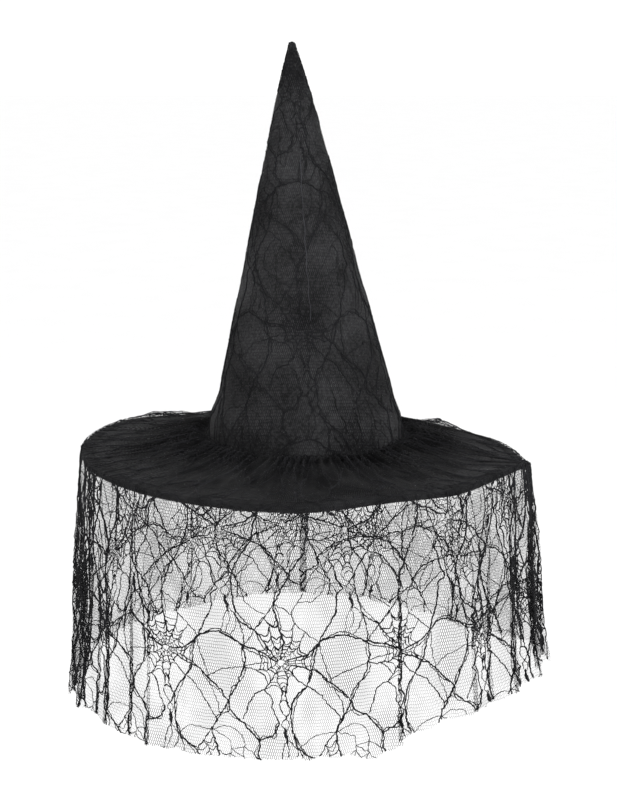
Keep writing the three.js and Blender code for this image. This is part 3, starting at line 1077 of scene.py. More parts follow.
@dataclass(frozen=True)
class WebRepeat:
    """One repeat of the cobweb lace, drawn flat about its hub in millimetres, with +v hanging down."""

    row: Row = Row.OVALS
    pitch: float = 116.0
    drop: float = 125.0
    step: float = 2.05
    cord: float = 0.78
    yarn: float = 0.58
    fine: float = 0.46
    ring_radii: tuple[float, ...] = (2.8, 6.2, 9.8, 13.8, 18.2, 23.0, 28.5, 34.5, 41.0, 48.0)
    spread: float = 1.1
    seed: int = 31

    def spokes(self) -> list[tuple[float, float, Line]]:
        """The lines that leave the hub, clockwise from the top.

        Returns:
            Thread radius (0 where the neighbouring repeat draws it), reach of the rings, and control points.
        """
        arch = (
            (3, -1), (12, -3), (23, -7), (36, -18), (46, -22), (57, -24), (69, -20), (80, -15), (93, -11),
            (104, -6), (113, -1),
        )
        vee = ((3, 1), (20, 7), (30, 11), (38, 15), (46, 21), (55, 29), (65, 41))
        if self.row is Row.OVALS:
            side = (
                (2, 3), (15, 17), (23, 23), (33, 29), (42, 41), (50, 52), (54, 58), (52, 68), (44, 80),
                (35, 93),
            )
        else:
            side = (
                (2, 3), (15, 17), (23, 23), (33, 29), (42, 41), (50, 52), (53, 60), (51, 70), (46, 79),
                (40, 88), (34, 96),
            )
        return [
            (self.cord, 40, ((0, -3), (1, -18), (-2, -34), (-6, -54), (-1, -68), (7, -84))),
            (self.fine, 32, ((1, -3), (8, -18), (13, -37))),
            (self.fine, 32, ((2, -2), (14, -14), (24, -29))),
            (self.cord, 24, arch),
            (self.cord, 24, vee),
            (self.yarn, 24, side),
            (self.yarn, 40, ((1, 3), (6, 18), (5, 32), (9, 45), (5, 53))),
            (self.fine, 40, ((0, 3), (-3, 18), (1, 32), (-2, 44), (5, 53))),
            (self.yarn, 32, ((-1, 3), (-9, 18), (-15, 28))),
            (self.yarn, 24, ((-3, 1), (-12, 7), (-22, 9), (-35, 6))),
            (0.0, 24, ((-3, -1), (-23, -11), (-36, -15), (-47, -20))),
            (self.cord, 32, ((-2, -2), (-16, -18), (-24, -29), (-41, -42), (-46, -58))),
            (self.fine, 40, ((-1, -3), (-9, -20), (-12, -34), (-16, -42))),
        ]

    def long_threads(self) -> list[tuple[float, Line]]:
        """The threads that bound the open cells between hubs.

        Returns:
            Thread radius and control points of each.
        """
        shared = [
            (self.cord, ((80, -15), (82, -5), (81, 6), (78, 19), (72, 30), (65, 41))),
            (self.cord, ((36, -18), (31, -5), (29, 9), (23, 22), (13, 37), (10, 49), (12, 67))),
            (self.yarn, ((-41, -42), (-37, -32), (-35, -22), (-35, -15))),
            (self.fine, ((36, -18), (24, -29), (13, -37), (11, -46))),
            (self.fine, ((-6, -55), (3, -51), (11, -46))),
            (self.fine, ((45, 19), (58, 12), (70, 8), (81, 5), (92, 2), (104, 1))),
            (self.fine, ((36, -15), (39, 0), (45, 17), (50, 31), (55, 42), (57, 55))),
            (self.yarn, ((65, 41), (66, 50), (60, 53), (54, 58))),
            (self.fine, ((5, 53), (1, 58), (4, 63), (5, 66))),
            (self.fine, ((5, 53), (9, 58), (7, 63), (5, 66))),
            (self.fine, ((6, 76), (3, 84), (2, 94), (0, 102))),
            (self.fine, ((7, 77), (9, 86), (6, 95), (4, 101))),
            (self.fine, ((8, 75), (16, 84), (14, 95), (9, 102))),
            (self.fine, ((-16, -42), (-24, -29), (-30, -22), (-35, -15))),
        ]
        if self.row is Row.OVALS:
            return shared + [
                (self.yarn, ((-15, 28), (-24, 33), (-31, 45), (-36, 57))),
                (self.yarn, ((-15, 28), (-9, 36), (-8, 47), (-2, 58))),
                (self.cord, ((-50, 41), (-49, 50), (-38, 58), (-29, 68), (-22, 77), (-21, 92), (-16, 104))),
                (self.cord, ((-2, 58), (-8, 69), (-22, 77))),
                (self.fine, ((12, 67), (17, 79), (26, 90), (35, 93))),
            ]
        return shared + [
            (self.fine, ((-35, -15), (-29, -5), (-28, 8), (-22, 19), (-15, 28))),
            (self.fine, ((-47, -20), (-44, -6), (-46, 8), (-52, 20), (-50, 33))),
            (self.fine, ((13, -37), (24, -40), (33, -34), (46, -22))),
            (self.fine, ((-6, -54), (6, -60), (18, -56), (24, -44), (23, -29))),
            (self.fine, ((-41, -42), (-32, -52), (-20, -56), (-6, -54))),
            (self.fine, ((33, 29), (24, 38), (20, 50), (22, 62), (31, 72), (44, 80))),
            (self.fine, ((-24, 34), (-18, 44), (-20, 56), (-28, 64), (-36, 66), (-43, 67))),
            (self.fine, ((-15, 28), (-24, 34), (-32, 45), (-37, 56), (-43, 67), (-47, 79))),
            (self.cord, ((-15, 28), (-9, 36), (-8, 47), (-2, 57), (-8, 63), (-9, 77), (-16, 91), (-22, 107))),
        ]

    def rings(self) -> list[tuple[float, Array]]:
        """Sagging rungs between neighbouring spokes."""
        rng = np.random.default_rng(self.seed)
        lines = [(reach, spline(points, 1.0)) for _, reach, points in self.spokes()]
        rungs = []
        for radius in self.ring_radii:
            for index, (reach, line) in enumerate(lines):
                next_reach, next_line = lines[(index + 1) % len(lines)]
                first, second = radius * rng.uniform(0.92, 1.09, 2)
                weight = self.fine * rng.uniform(0.85, 1.5)
                if max(first, second) > self.spread * min(reach, next_reach) or rng.uniform() < 0.08:
                    continue
                start, end = self.at_distance(line, first), self.at_distance(next_line, second)
                middle = (start + end) * 0.5 * rng.uniform(0.8, 0.93)
                rungs.append((weight, spline([start, middle, end], self.step)))
        return rungs

    @staticmethod
    def at_distance(line: Array, radius: float) -> Array:
        """The first point of a line at a distance from the hub."""
        away = np.linalg.norm(line, axis=1)
        return line[min(int(np.argmax(away >= radius)), len(line) - 1)] if away.max() >= radius else line[-1]

    def companions(self, threads: list[tuple[float, Array]]) -> list[tuple[float, Array]]:
        """Fine threads that run beside the heavy ones and cross over them.

        Args:
            threads: Radius and points of every thread.

        Returns:
            The same for the threads beside them.
        """
        rng = np.random.default_rng(self.seed + 1)
        beside = []
        for radius, line in threads:
            if radius < self.cord or (self.row is Row.DROPS and rng.uniform() < 0.5):
                continue
            along = lengths_along(line)
            run = np.gradient(line, axis=0)
            run /= np.linalg.norm(run, axis=1, keepdims=True)
            sway = (
                3.0 * np.sin(along / along[-1] * math.pi * rng.integers(2, 4) + 0.2) * rng.choice([-1.0, 1.0])
            )
            beside.append((self.fine, line + np.column_stack([-run[:, 1], run[:, 0]]) * sway[:, None]))
        return beside

    def drop_body(self) -> tuple[Array, Array]:
        """The dark worked spindle that hangs under the hub: its line and its radii."""
        line = spline(((5, 61), (5, 66), (6, 71), (7, 79)), 1.4)
        share = np.linspace(0.0, 1.0, len(line))
        return line, self.fine + 1.5 * np.sin(share * math.pi) ** 1.4 * (1.0 - 0.35 * share)

    def carrier(self) -> Piece:
        """Make the flat repeat as lines with a radius at every point."""
        threads = [(radius, spline(points, self.step)) for radius, _, points in self.spokes() if radius > 0]
        threads += [(radius, spline(points, self.step)) for radius, points in self.long_threads()]
        threads += self.rings() + self.companions(threads)
        lines = [line for _, line in threads]
        radii = [
            radius * (0.6 + 0.4 * smooth(np.linalg.norm(line, axis=1) / 22.0)) for radius, line in threads
        ]
        spindle, widths = self.drop_body()
        lines.append(spindle)
        radii.append(widths)
        edges, start = [], 0
        for line in lines:
            edges += [(start + i, start + i + 1) for i in range(len(line) - 1)]
            start += len(line)
        flat = np.concatenate(lines) * (MM, -MM)
        mesh = bpy.data.meshes.new("web_repeat")
        mesh.from_pydata(np.column_stack([flat, np.zeros(len(flat))]).tolist(), edges, [])
        widths = mesh.attributes.new(RADIUS_NAME, "FLOAT", "POINT")
        widths.data.foreach_set("value", (np.concatenate(radii) * MM).astype(np.float32))
        return add_object("web_repeat", mesh)


class Workroom:
    """What every sub-assembly works with: finishes, makers and the two drawn rows of the lace repeat."""

    def __init__(self) -> None:
        """Build them all."""
        self.finishes = Wardrobe()
        self.webs = WebMaker()
        self.stitches = StitchMaker()
        self.drawing = WebRepeat()
        self.carriers = [
            self.drawing.carrier(),
            WebRepeat(row=Row.DROPS, yarn=0.52, fine=0.38, spread=1.3, seed=47).carrier(),
        ]

    def web(self, sheet: Piece, name: str, first: Row = Row.OVALS, **values: object) -> Piece:
        """Lay web threads on a sheet.

        Args:
            sheet: The net that carries them.
            name: The piece's name.
            first: Which row comes lowest.
            **values: Inputs of the web tree.

        Returns:
            The threads as a plain mesh object.
        """
        even, odd = self.carriers if first is Row.OVALS else self.carriers[::-1]
        fixed = {"Even_Row": even, "Odd_Row": odd, "Finish": self.finishes.web}
        fixed |= {"Pitch": self.drawing.pitch * MM, "Row_Drop": self.drawing.drop * MM}
        return self.webs.run(sheet, name, **(fixed | values))

    def close(self) -> None:
        """Put the drawn repeats away."""
        for carrier in self.carriers:
            bpy.data.objects.remove(carrier)


# ---- Forms: the rules that the frame's surfaces follow ----


@dataclass(frozen=True)
class CrownForm:
    """Surface rule of the crown: a straight cone with a rounded tip, a swelling foot and a lean."""

    foot: float = 5.5 * MM
    tip: float = field(default_factory=lambda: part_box("crown_lace")[1].z)
    apex: float = 424.5 * MM
    taper: float = 0.23938
    rounding: float = 56.0 * MM
    swelling: float = 2.8 * MM
    swelling_height: float = 52.0 * MM
    lean_start: float = 57.5 * MM
    lean: float = math.tan(math.radians(2.2))
    nose: float = 3.8 * MM

    def radius(self, height: Array, depth: float = 0.0) -> Array:
        """Radius of the crown at a height.

        Args:
            height: Height over the frame's origin.
            depth: Horizontal depth under the lace.

        Returns:
            The radius, rounded in at the tip.
        """
        level = np.asarray(height, float) + depth / self.taper
        start = self.tip - self.rounding
        power = self.rounding / (self.apex - start)
        share = np.clip((level - start) / self.rounding, 0.0, 1.0)
        cone = np.where(
            level <= start, (self.apex - level) * self.taper,
            (self.apex - start) * self.taper * (1 - share) ** power,
        )
        rise = np.clip((height - self.foot) / self.swelling_height, 0.0, 1.0)
        from_top = self.tip - depth - height
        inside = np.clip(from_top, 0.0, self.nose)
        nose = (
            np.sqrt(2.0 * self.nose * inside - inside**2) * smooth((60.0 * MM - from_top) / (40.0 * MM))
            * (depth < 1.5 * MM)
        )
        return np.cbrt((cone + self.swelling * np.sin(math.pi * rise) ** 2) ** 3 + nose**3)

    def place(self, angle: Array, height: Array, radius: Array) -> Array:
        """Points at an angle, a height and a radius, with the lean."""
        shift = -self.lean * np.maximum(0.0, height - self.lean_start)
        return np.stack([radius * np.sin(angle) + shift, -radius * np.cos(angle), height + 0.0 * angle], -1)

    def flat(self, angle: Array, height: Array) -> Array:
        """The cone laid flat: the cloth's own coordinates in metres, upright at the front."""
        slant = math.hypot(1.0, self.taper)
        away = np.maximum(self.apex - height, 0.0) * slant
        fan = angle * self.taper / slant
        return np.stack([away * np.sin(fan), -away * np.cos(fan)], -1)


@dataclass(frozen=True)
class BrimForm:
    """Surface rule of the brim: flat by the head, falling to the rim, with one side a little lower."""

    inner: float = 95.3 * MM
    shoulder: float = 116.3 * MM
    rim: float = field(default_factory=lambda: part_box("brim_edge_binding")[1].x)
    fall: float = 9.0 * MM
    side_rise: float = 3.2 * MM
    side_drop: float = 6.0 * MM
    twist: float = 9.5 * MM
    tip_twist: float = 18.0 * MM
    sag: Line = (
        (-180, 0), (-172, 0), (-162, -5), (-152, -9.5), (-146, -9.5), (-137, -7), (-130, -3.5), (-121, -0.5),
        (-112, 0), (70, 0), (76, -2), (82, -8), (88, -11), (94, -11), (100, -9), (106, -5), (112, -1),
        (118, 0), (130, -2.5), (142, -4.5), (152, -5), (163, -2), (172, 0),
    )

    def base(self, radius: Array) -> Array:
        """Height of the underside."""
        share = np.maximum(0.0, np.asarray(radius, float) - self.shoulder) / (self.rim - self.shoulder)
        return -self.fall * share

    def settle(self, points: Array) -> Array:
        """Let the soft brim flex: one side rides high, the other droops and twists up at the front.

        Args:
            points: Points of the level brim.

        Returns:
            The same points, raised or lowered.
        """
        across, along = points[..., 0] / self.rim, points[..., 1] / self.rim
        share = smooth((np.hypot(points[..., 0], points[..., 1]) - 0.105) / (self.rim - 0.105))
        left = smooth((across + 0.07) / 0.5)
        tilt = -across * np.where(across < 0, self.side_rise, self.side_drop)
        twist = -along * (self.twist * left + self.tip_twist * smooth((across - 0.6) / 0.35))
        bearing = np.degrees(np.arctan2(points[..., 0], -points[..., 1]))
        degrees, depth = np.array(self.sag).T
        sag = sum(
            np.interp(bearing + shift, degrees, depth, period=360) for shift in (-4, -2, 0, 2, 4)
        ) / 5 * MM
        points = points.copy()
        points[..., 2] += share * (tilt + twist + sag)
        return points

    def place(self, angle: Array, radius: Array, over: Array | float) -> Array:
        """Points at an angle and radius, a height over the underside.

        Args:
            angle: Angle from the front.
            radius: Distance from the axis.
            over: Height over the underside.

        Returns:
            Points on the flexed brim.
        """
        height = self.base(radius) + over
        return self.settle(polar(angle, radius, height))

    def ring(
        self, name: str, section: Array, columns: int, relief: Callable[[Array, Array], Array] | None = None
    ) -> Piece:
        """Sweep a closed section round the brim.

        Args:
            name: The piece's name.
            section: Radius and height over the underside of each outline point.
            columns: Steps round the ring.
            relief: Extra height at an angle and a place along the outline, if any.

        Returns:
            The ring.
        """
        angle = all_round(columns)[None, :]
        outline = np.vstack([section, section[:1]])
        radius, over = outline[:, :1], outline[:, 1:]
        walked = lengths_along(outline)[:, None]
        extra = relief(angle, radius + 0.0 * angle) if relief else 0.0
        points = self.place(angle, radius + 0.0 * angle, over + extra)
        around = np.linspace(0.0, TURN, columns + 1)[None, :] * section[:, 0].mean()
        return Patchwork().grid(points, chart(around, walked), ring=True).build(name, closed=True)


# ---- Sub-assemblies ----


@dataclass
class Crown:
    """The stiffened cone: lace over cloth over felt, with a loose lining inside."""

    workroom: Workroom
    form: CrownForm = field(default_factory=CrownForm)
    columns: int = 240
    rows: int = 160
    crease_angle: float = math.radians(6.4)
    crease_height: float = 1.5 * MM
    wrinkle: float = 1.1 * MM
    lace_lift: float = 0.45 * MM

    def relief(self, angle: Array, height: Array) -> Array:
        """How far the cloth stands off its rule: soft wrinkles, the pressed crease and the back seam.

        Args:
            angle: Angle from the front.
            height: Height over the frame's origin.

        Returns:
            The distance outwards.
        """
        slow = Ripple(5, 4.0, 38.0)(angle, height)
        slanted = Ripple(9, 9.0, 95.0, 12)(angle, height)
        fade = smooth((self.form.tip - height) / 0.09) * smooth((height - self.form.foot) / 0.02)
        wrinkles = self.wrinkle * (0.5 + 0.35 * slow + 0.3 * slanted)
        along = smooth((height - 0.085) / 0.06) * smooth((0.345 - height) / 0.06)
        radius = np.maximum(self.form.radius(height), 1e-4)
        from_crease = (angle - self.crease_angle) * radius
        crease = self.crease_height * np.exp(-np.abs(from_crease) / (1.5 * MM)) * along
        from_seam = (np.abs(angle) - math.pi) * radius
        seam = (
            0.7 * MM * np.exp(-((from_seam / (4.0 * MM)) ** 4))
            - 0.8 * MM * np.exp(-((from_seam / (0.7 * MM)) ** 2))
        )
        return (wrinkles + crease) * fade + seam * smooth((self.form.tip - height) / 0.05)

    def levels(self, top: float) -> Array:
        """Row heights from the foot to the tip, closer together where the tip rounds off."""
        share = np.linspace(0.0, 1.0, self.rows)
        return self.form.foot + (top - self.form.foot) * (1.0 - (1.0 - share) ** 1.35)

    def wall(self, depth: float, relief: float, rows: int | None = None) -> tuple[Array, Array]:
        """One surface of the cone.

        Args:
            depth: Horizontal depth under the lace.
            relief: Share of the cloth's relief that it takes.
            rows: Number of rows, if fewer than the crown's own.

        Returns:
            Its points and its flat coordinates.
        """
        top = self.form.tip - (depth if depth < 1.5 * MM else depth / self.form.taper)
        height = self.levels(top)[:: 1 if rows is None else self.rows // rows][:, None]
        height = np.vstack([height[:-1], [[top]]])
        angle = np.linspace(-math.pi, math.pi, self.columns + 1)[None, :]
        radius = self.form.radius(height, depth)
        offset = self.relief(angle, height) * relief * smooth(radius / (6.0 * MM))
        points = self.form.place(angle, height, radius + offset)
        return points[:, :-1], self.form.flat(angle, height)

    def shell(
        self, name: str, depth: float, thickness: float, relief: float, rows: int | None = None
    ) -> Piece:
        """A closed cloth cone with a thickness.

        Args:
            name: The piece's name.
            depth: Horizontal depth under the lace.
            thickness: How thick it is.
            relief: Share of the cloth's relief that it takes.
            rows: Number of rows, if fewer than the crown's own.

        Returns:
            The cone.
        """
        outer, outer_uv = self.wall(depth, relief, rows)
        inner, inner_uv = self.wall(depth + thickness, relief, rows)
        patch = Patchwork().grid(outer, outer_uv, ring=True).grid(inner, inner_uv, ring=True, flip=True)
        patch.grid(np.stack([inner[0], outer[0]]), np.stack([inner_uv[0], outer_uv[0]]), ring=True)
        return patch.build(name, merge=2e-6, closed=True)

    def build(self) -> list[Piece]:
        """Build and dress the cone's pieces."""
        kit = self.workroom.finishes
        felt = dress(
            self.shell("crown_felt_cone", 1.7 * MM, 2.1 * MM, 0.6, 80), kit.felt, Slot.FELT,
            "crown_interlining",
        )
        lining = dress(
            self.shell("crown_lining_cone", 4.5 * MM, 0.5 * MM, 0.5, 80), kit.lining, Slot.LINING,
            "crown_lining",
        )
        cloth = dress(
            self.shell("crown_cloth_cone", 0.6 * MM, 0.8 * MM, 1.0), kit.cloth, Slot.CLOTH, "crown_cloth"
        )
        net = dress(self.net(), kit.net, Slot.LACE, "crown_lace")
        web = self.workroom.web(
            net, "crown_lace_web", Columns=7, Rows=5, Centre=(0.0, -0.305, 0.0), Thickness=0.72,
            Wander=4.5 * MM,
        )
        dress(web, kit.web, Slot.LACE)
        pleat = dress(self.pleat(), kit.yarn, Slot.LACE)
        return [felt, lining, cloth, net, web, pleat]

    def pleat(self) -> Piece:
        """The pulled yarn that runs down the pressed crease: a lighter bluish thread that also paints the
        crease's highlight.
        """
        height = np.linspace(0.296, 0.142, 160)
        angle = (
            self.crease_angle
            + 0.9 * MM * Ripple(93, 260.0, 0.0, 8, ring=False)(height) / self.form.radius(height)
        )
        radius = self.form.radius(height) + self.relief(angle, height) + 0.15 * MM
        path = self.form.place(angle, height, radius)
        yarn = self.workroom.finishes.yarn
        return self.workroom.stitches.row(
            "crown_lace_pulled_yarn", path, yarn, False, Spacing=2.2 * MM, Stitch=3.4 * MM, Thread=0.7 * MM
        )

    def net(self) -> Piece:
        """The lace ground over the cone, one layer."""
        points, uv = self.wall(0.6 * MM - self.lace_lift, 1.0)
        return Patchwork().grid(points, uv, ring=True).build("crown_lace_ground", merge=2e-6)


@dataclass
class Brim:
    """The padded brim: two cloth rings over a foam ring, a wire hoop and a folded edge binding."""

    workroom: Workroom
    form: BrimForm = field(default_factory=BrimForm)
    columns: int = 288
    cloth_edge: float = 227.0 * MM
    foam_edge: float = 223.6 * MM
    hoop_radius: float = 225.2 * MM
    wire: float = 0.7 * MM
    binding_arm: float = 216.0 * MM

    def cloth_relief(self, angle: Array, radius: Array) -> Array:
        """Soft unevenness of cloth over foam."""
        fade = (
            smooth((radius - self.form.inner - 0.004) / 0.02)
            * smooth((self.cloth_edge - 0.006 - radius) / 0.02)
        )
        return 0.35 * MM * fade * (0.6 + Ripple(14, 14.0, 60.0, 12)(angle, radius))

    def slab(
        self, inner: float, outer: float, low: float, high: float, rounding: float, steps: int = 24
    ) -> Array:
        """Outline of a flat ring's section, with points along its long sides.

        Args:
            inner: Radius of the inner edge.
            outer: Radius of the outer edge.
            low: Height of the lower face over the underside.
            high: Height of the upper face.
            rounding: How far the rounded ends reach in.
            steps: Points along each face.

        Returns:
            Radius and height of each outline point.
        """
        along = np.linspace(inner + rounding, outer - rounding, steps)
        side = np.sqrt(np.linspace(0.0, 1.0, 4))
        low_side = np.column_stack([along, np.full(steps, low)])
        high_side = np.column_stack([along[::-1], np.full(steps, high)])
        middle = (low + high) / 2
        half = (high - low) / 2
        turns = [(rounding - rounding * math.sin(a), half * math.cos(a)) for a in np.pi * side[1:-1]]
        outer_end = [(outer - inset, middle - rise) for inset, rise in turns]
        inner_end = [(inner + inset, middle + rise) for inset, rise in turns]
        return np.vstack([low_side, outer_end, high_side, inner_end])

    def binding_section(self) -> Array:
        """Outline of the folded tape round the brim's edge."""
        arm, rim, thick = self.binding_arm, self.form.rim, 0.7 * MM
        low, high = -1.0 * MM, 6.2 * MM
        outer = [(arm, low), (rim - 1.6 * MM, low), (rim - 0.3 * MM, low + 1.2 * MM), (rim, 2.6 * MM)]
        outer += [(rim - 0.3 * MM, high - 1.2 * MM), (rim - 1.6 * MM, high), (arm, high)]
        inner = [(arm, high - thick), (rim - 1.9 * MM, high - thick), (rim - thick, 2.6 * MM)]
        inner += [(rim - 1.9 * MM, low + thick), (arm, low + thick)]
        return round_corners(outer + inner, 0.9 * MM)

    def circle_section(self, radius: float, over: float, half: float, steps: int = 10) -> Array:
        """Outline of a round wire."""
        turn = all_round(steps)
        return np.column_stack([radius + half * np.cos(turn), over + half * np.sin(turn)])

    def stitch_path(self, radius: float, over: float) -> Array:
        """A ring that a row of stitches follows."""
        angle = all_round(720)
        return self.form.place(angle, np.full(angle.shape, radius), over)

    def build(self) -> list[Piece]:
        """Build and dress the brim's pieces."""
        kit, form = self.workroom.finishes, self.form
        pieces = []
        for name, low, finish, slot, node in (
            ("brim_under_cloth_panel", 0.0, kit.cloth, Slot.CLOTH, "brim_under_cloth"),
            ("brim_top_cloth_panel", 4.4 * MM, kit.cloth, Slot.CLOTH, "brim_top_cloth"),
        ):
            section = self.slab(form.inner, self.cloth_edge, low, low + 0.8 * MM, 0.5 * MM)
            relief = self.cloth_relief if low > 0 else None
            panel = dress(form.ring(name, section, self.columns, relief), finish, slot, node)
            pieces.append(panel)
        foam = form.ring(
            "brim_foam_ring", self.slab(form.inner, self.foam_edge, 1.1 * MM, 4.1 * MM, 1.2 * MM),
            self.columns,
        )
        pieces.append(dress(foam, kit.foam, Slot.FOAM, "brim_foam"))
        hoop = form.ring(
            "brim_wire_hoop", self.circle_section(self.hoop_radius, 2.6 * MM, self.wire), self.columns
        )
        pieces.append(dress(hoop, kit.steel, Slot.STEEL, "brim_wire"))
        pucker = Ripple(21, 190.0, 20.0, 14)
        binding = form.ring(
            "brim_binding_tape", self.binding_section(), 720,
            lambda angle, radius: 0.12 * MM * pucker(angle, radius),
        )
        pieces.append(dress(binding, kit.tape, Slot.TAPE, "brim_edge_binding"))
        for name, over in (("binding_stitches_top", 6.25 * MM), ("binding_stitches_under", -1.05 * MM)):
            row = self.workroom.stitches.row(name, self.stitch_path(217.6 * MM, over), kit.thread)
            pieces.append(dress(row, kit.thread, Slot.THREAD))
        return pieces


@dataclass
class HeadFitting:
    """What shows inside the head opening: ribbon, seam tapes and the blank care label."""

    workroom: Workroom
    crown: CrownForm = field(default_factory=CrownForm)
    brim: BrimForm = field(default_factory=BrimForm)
    head_radius: float = 95.0 * MM
    ribbon_height: float = 30.0 * MM
    label_angle: float = math.radians(180.0 - 62.0)

    def ribbon(self) -> Piece:
        """Ribbed sweatband with a softly waved free edge."""
        angle = np.linspace(-math.pi, math.pi, 361)[None, :]
        height = np.linspace(0.0, self.ribbon_height, 16)[:, None]
        wave = Ripple(3, 12.0, 0.0)(angle)
        free = smooth(height / self.ribbon_height)
        outer = 94.9 * MM - free * (1.1 * MM + 0.5 * MM * wave)
        patch = Patchwork()
        uv = chart(angle * self.head_radius, height)
        walls = []
        for radius in (outer, outer - 0.9 * MM):
            walls.append(polar(angle, radius, height)[:, :-1])
        patch.grid(walls[0], uv, ring=True).grid(walls[1], uv, ring=True, flip=True)
        patch.grid(np.stack([walls[1][0], walls[0][0]]), uv[:2], ring=True)
        patch.grid(np.stack([walls[0][-1], walls[1][-1]]), uv[:2], ring=True)
        return patch.build("sweatband_ribbon", closed=True)

    def seam_tape(self) -> Piece:
        """Tape over the crown's back seam, on the lining."""
        height = np.linspace(30.3 * MM, 300.0 * MM, 90)[:, None]
        across = np.linspace(-1.0, 1.0, 7)[None, :]
        depth = 5.15 * MM
        patch, walls = Patchwork(), []
        for lift in (0.0, 0.45 * MM):
            radius = self.crown.radius(height, depth) - lift * np.cos(across * math.pi / 2) ** 0.3 - 0.35 * MM
            half = 4.9 * MM / np.maximum(radius, 1e-3)
            walls.append(self.crown.place(math.pi + across * half, height + 0.0 * across, radius))
        patch.strip(walls, chart(across * 5.0 * MM, height))
        return patch.build("crown_seam_tape_strip", closed=True)

    def head_binding(self) -> Piece:
        """Flat tape under the brim that covers the head seam."""
        inner, outer, low, high = 95.4 * MM, 111.2 * MM, -1.1 * MM, -0.3 * MM
        section = round_corners([(inner, low), (outer, low), (outer, high), (inner, high)], 0.3 * MM)
        pucker = Ripple(33, 90.0, 20.0, 12)
        return self.brim.ring(
            "head_seam_tape", section, 480, lambda angle, radius: 0.06 * MM * pucker(angle, radius)
        )

    def label(self) -> Piece:
        """Blank satin care label, curled a little inwards towards its lower edge."""
        low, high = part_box("care_label")
        across = np.linspace(-12.0 * MM, 12.0 * MM, 13)[None, :]
        height = np.linspace(low.z + 0.3 * MM, high.z - 0.3 * MM, 22)[:, None]
        patch, walls = Patchwork(), []
        curl = 1.4 * MM * smooth((low.z + 12 * MM - height) / (12 * MM))
        for lift in (0.0, 0.35 * MM):
            radius = (
                self.crown.radius(height, 5.3 * MM) - lift - curl * (0.6 + 0.4 * (across / (12 * MM)) ** 2)
                - 0.3 * MM
            )
            angle = -self.label_angle + across / np.maximum(radius, 1e-3)
            walls.append(self.crown.place(angle, height + 0.0 * across, radius))
        patch.strip(walls, chart(across, height))
        return patch.build("care_label_blank", closed=True)

    def build(self) -> list[Piece]:
        """Build and dress the head opening's pieces."""
        kit, room = self.workroom.finishes, self.workroom
        ribbon = dress(self.ribbon(), kit.ribbon, Slot.RIBBON, "sweatband")
        pieces = [
            ribbon,
            dress(self.seam_tape(), kit.tape, Slot.TAPE, "crown_seam_tape"),
            dress(self.head_binding(), kit.tape, Slot.TAPE, "head_seam_binding"),
            dress(self.label(), kit.satin, Slot.SATIN, "care_label"),
        ]
        angle = all_round(480)
        for name, radius in (("head_stitches_inner", 96.9 * MM), ("head_stitches_outer", 109.7 * MM)):
            path = self.brim.place(angle, np.full(angle.shape, radius), -1.15 * MM)
            pieces.append(dress(room.stitches.row(name, path, kit.thread), kit.thread, Slot.THREAD))
        radius = 93.95 * MM
        path = polar(angle, radius, 2.2 * MM)
        pieces.append(dress(room.stitches.row("ribbon_stitches", path, kit.thread), kit.thread, Slot.THREAD))
        return pieces


@dataclass(frozen=True)
class Fold:
    """One deep vertical fold of the veil."""

    angle: float
    width: float
    depth: float
    lap: float


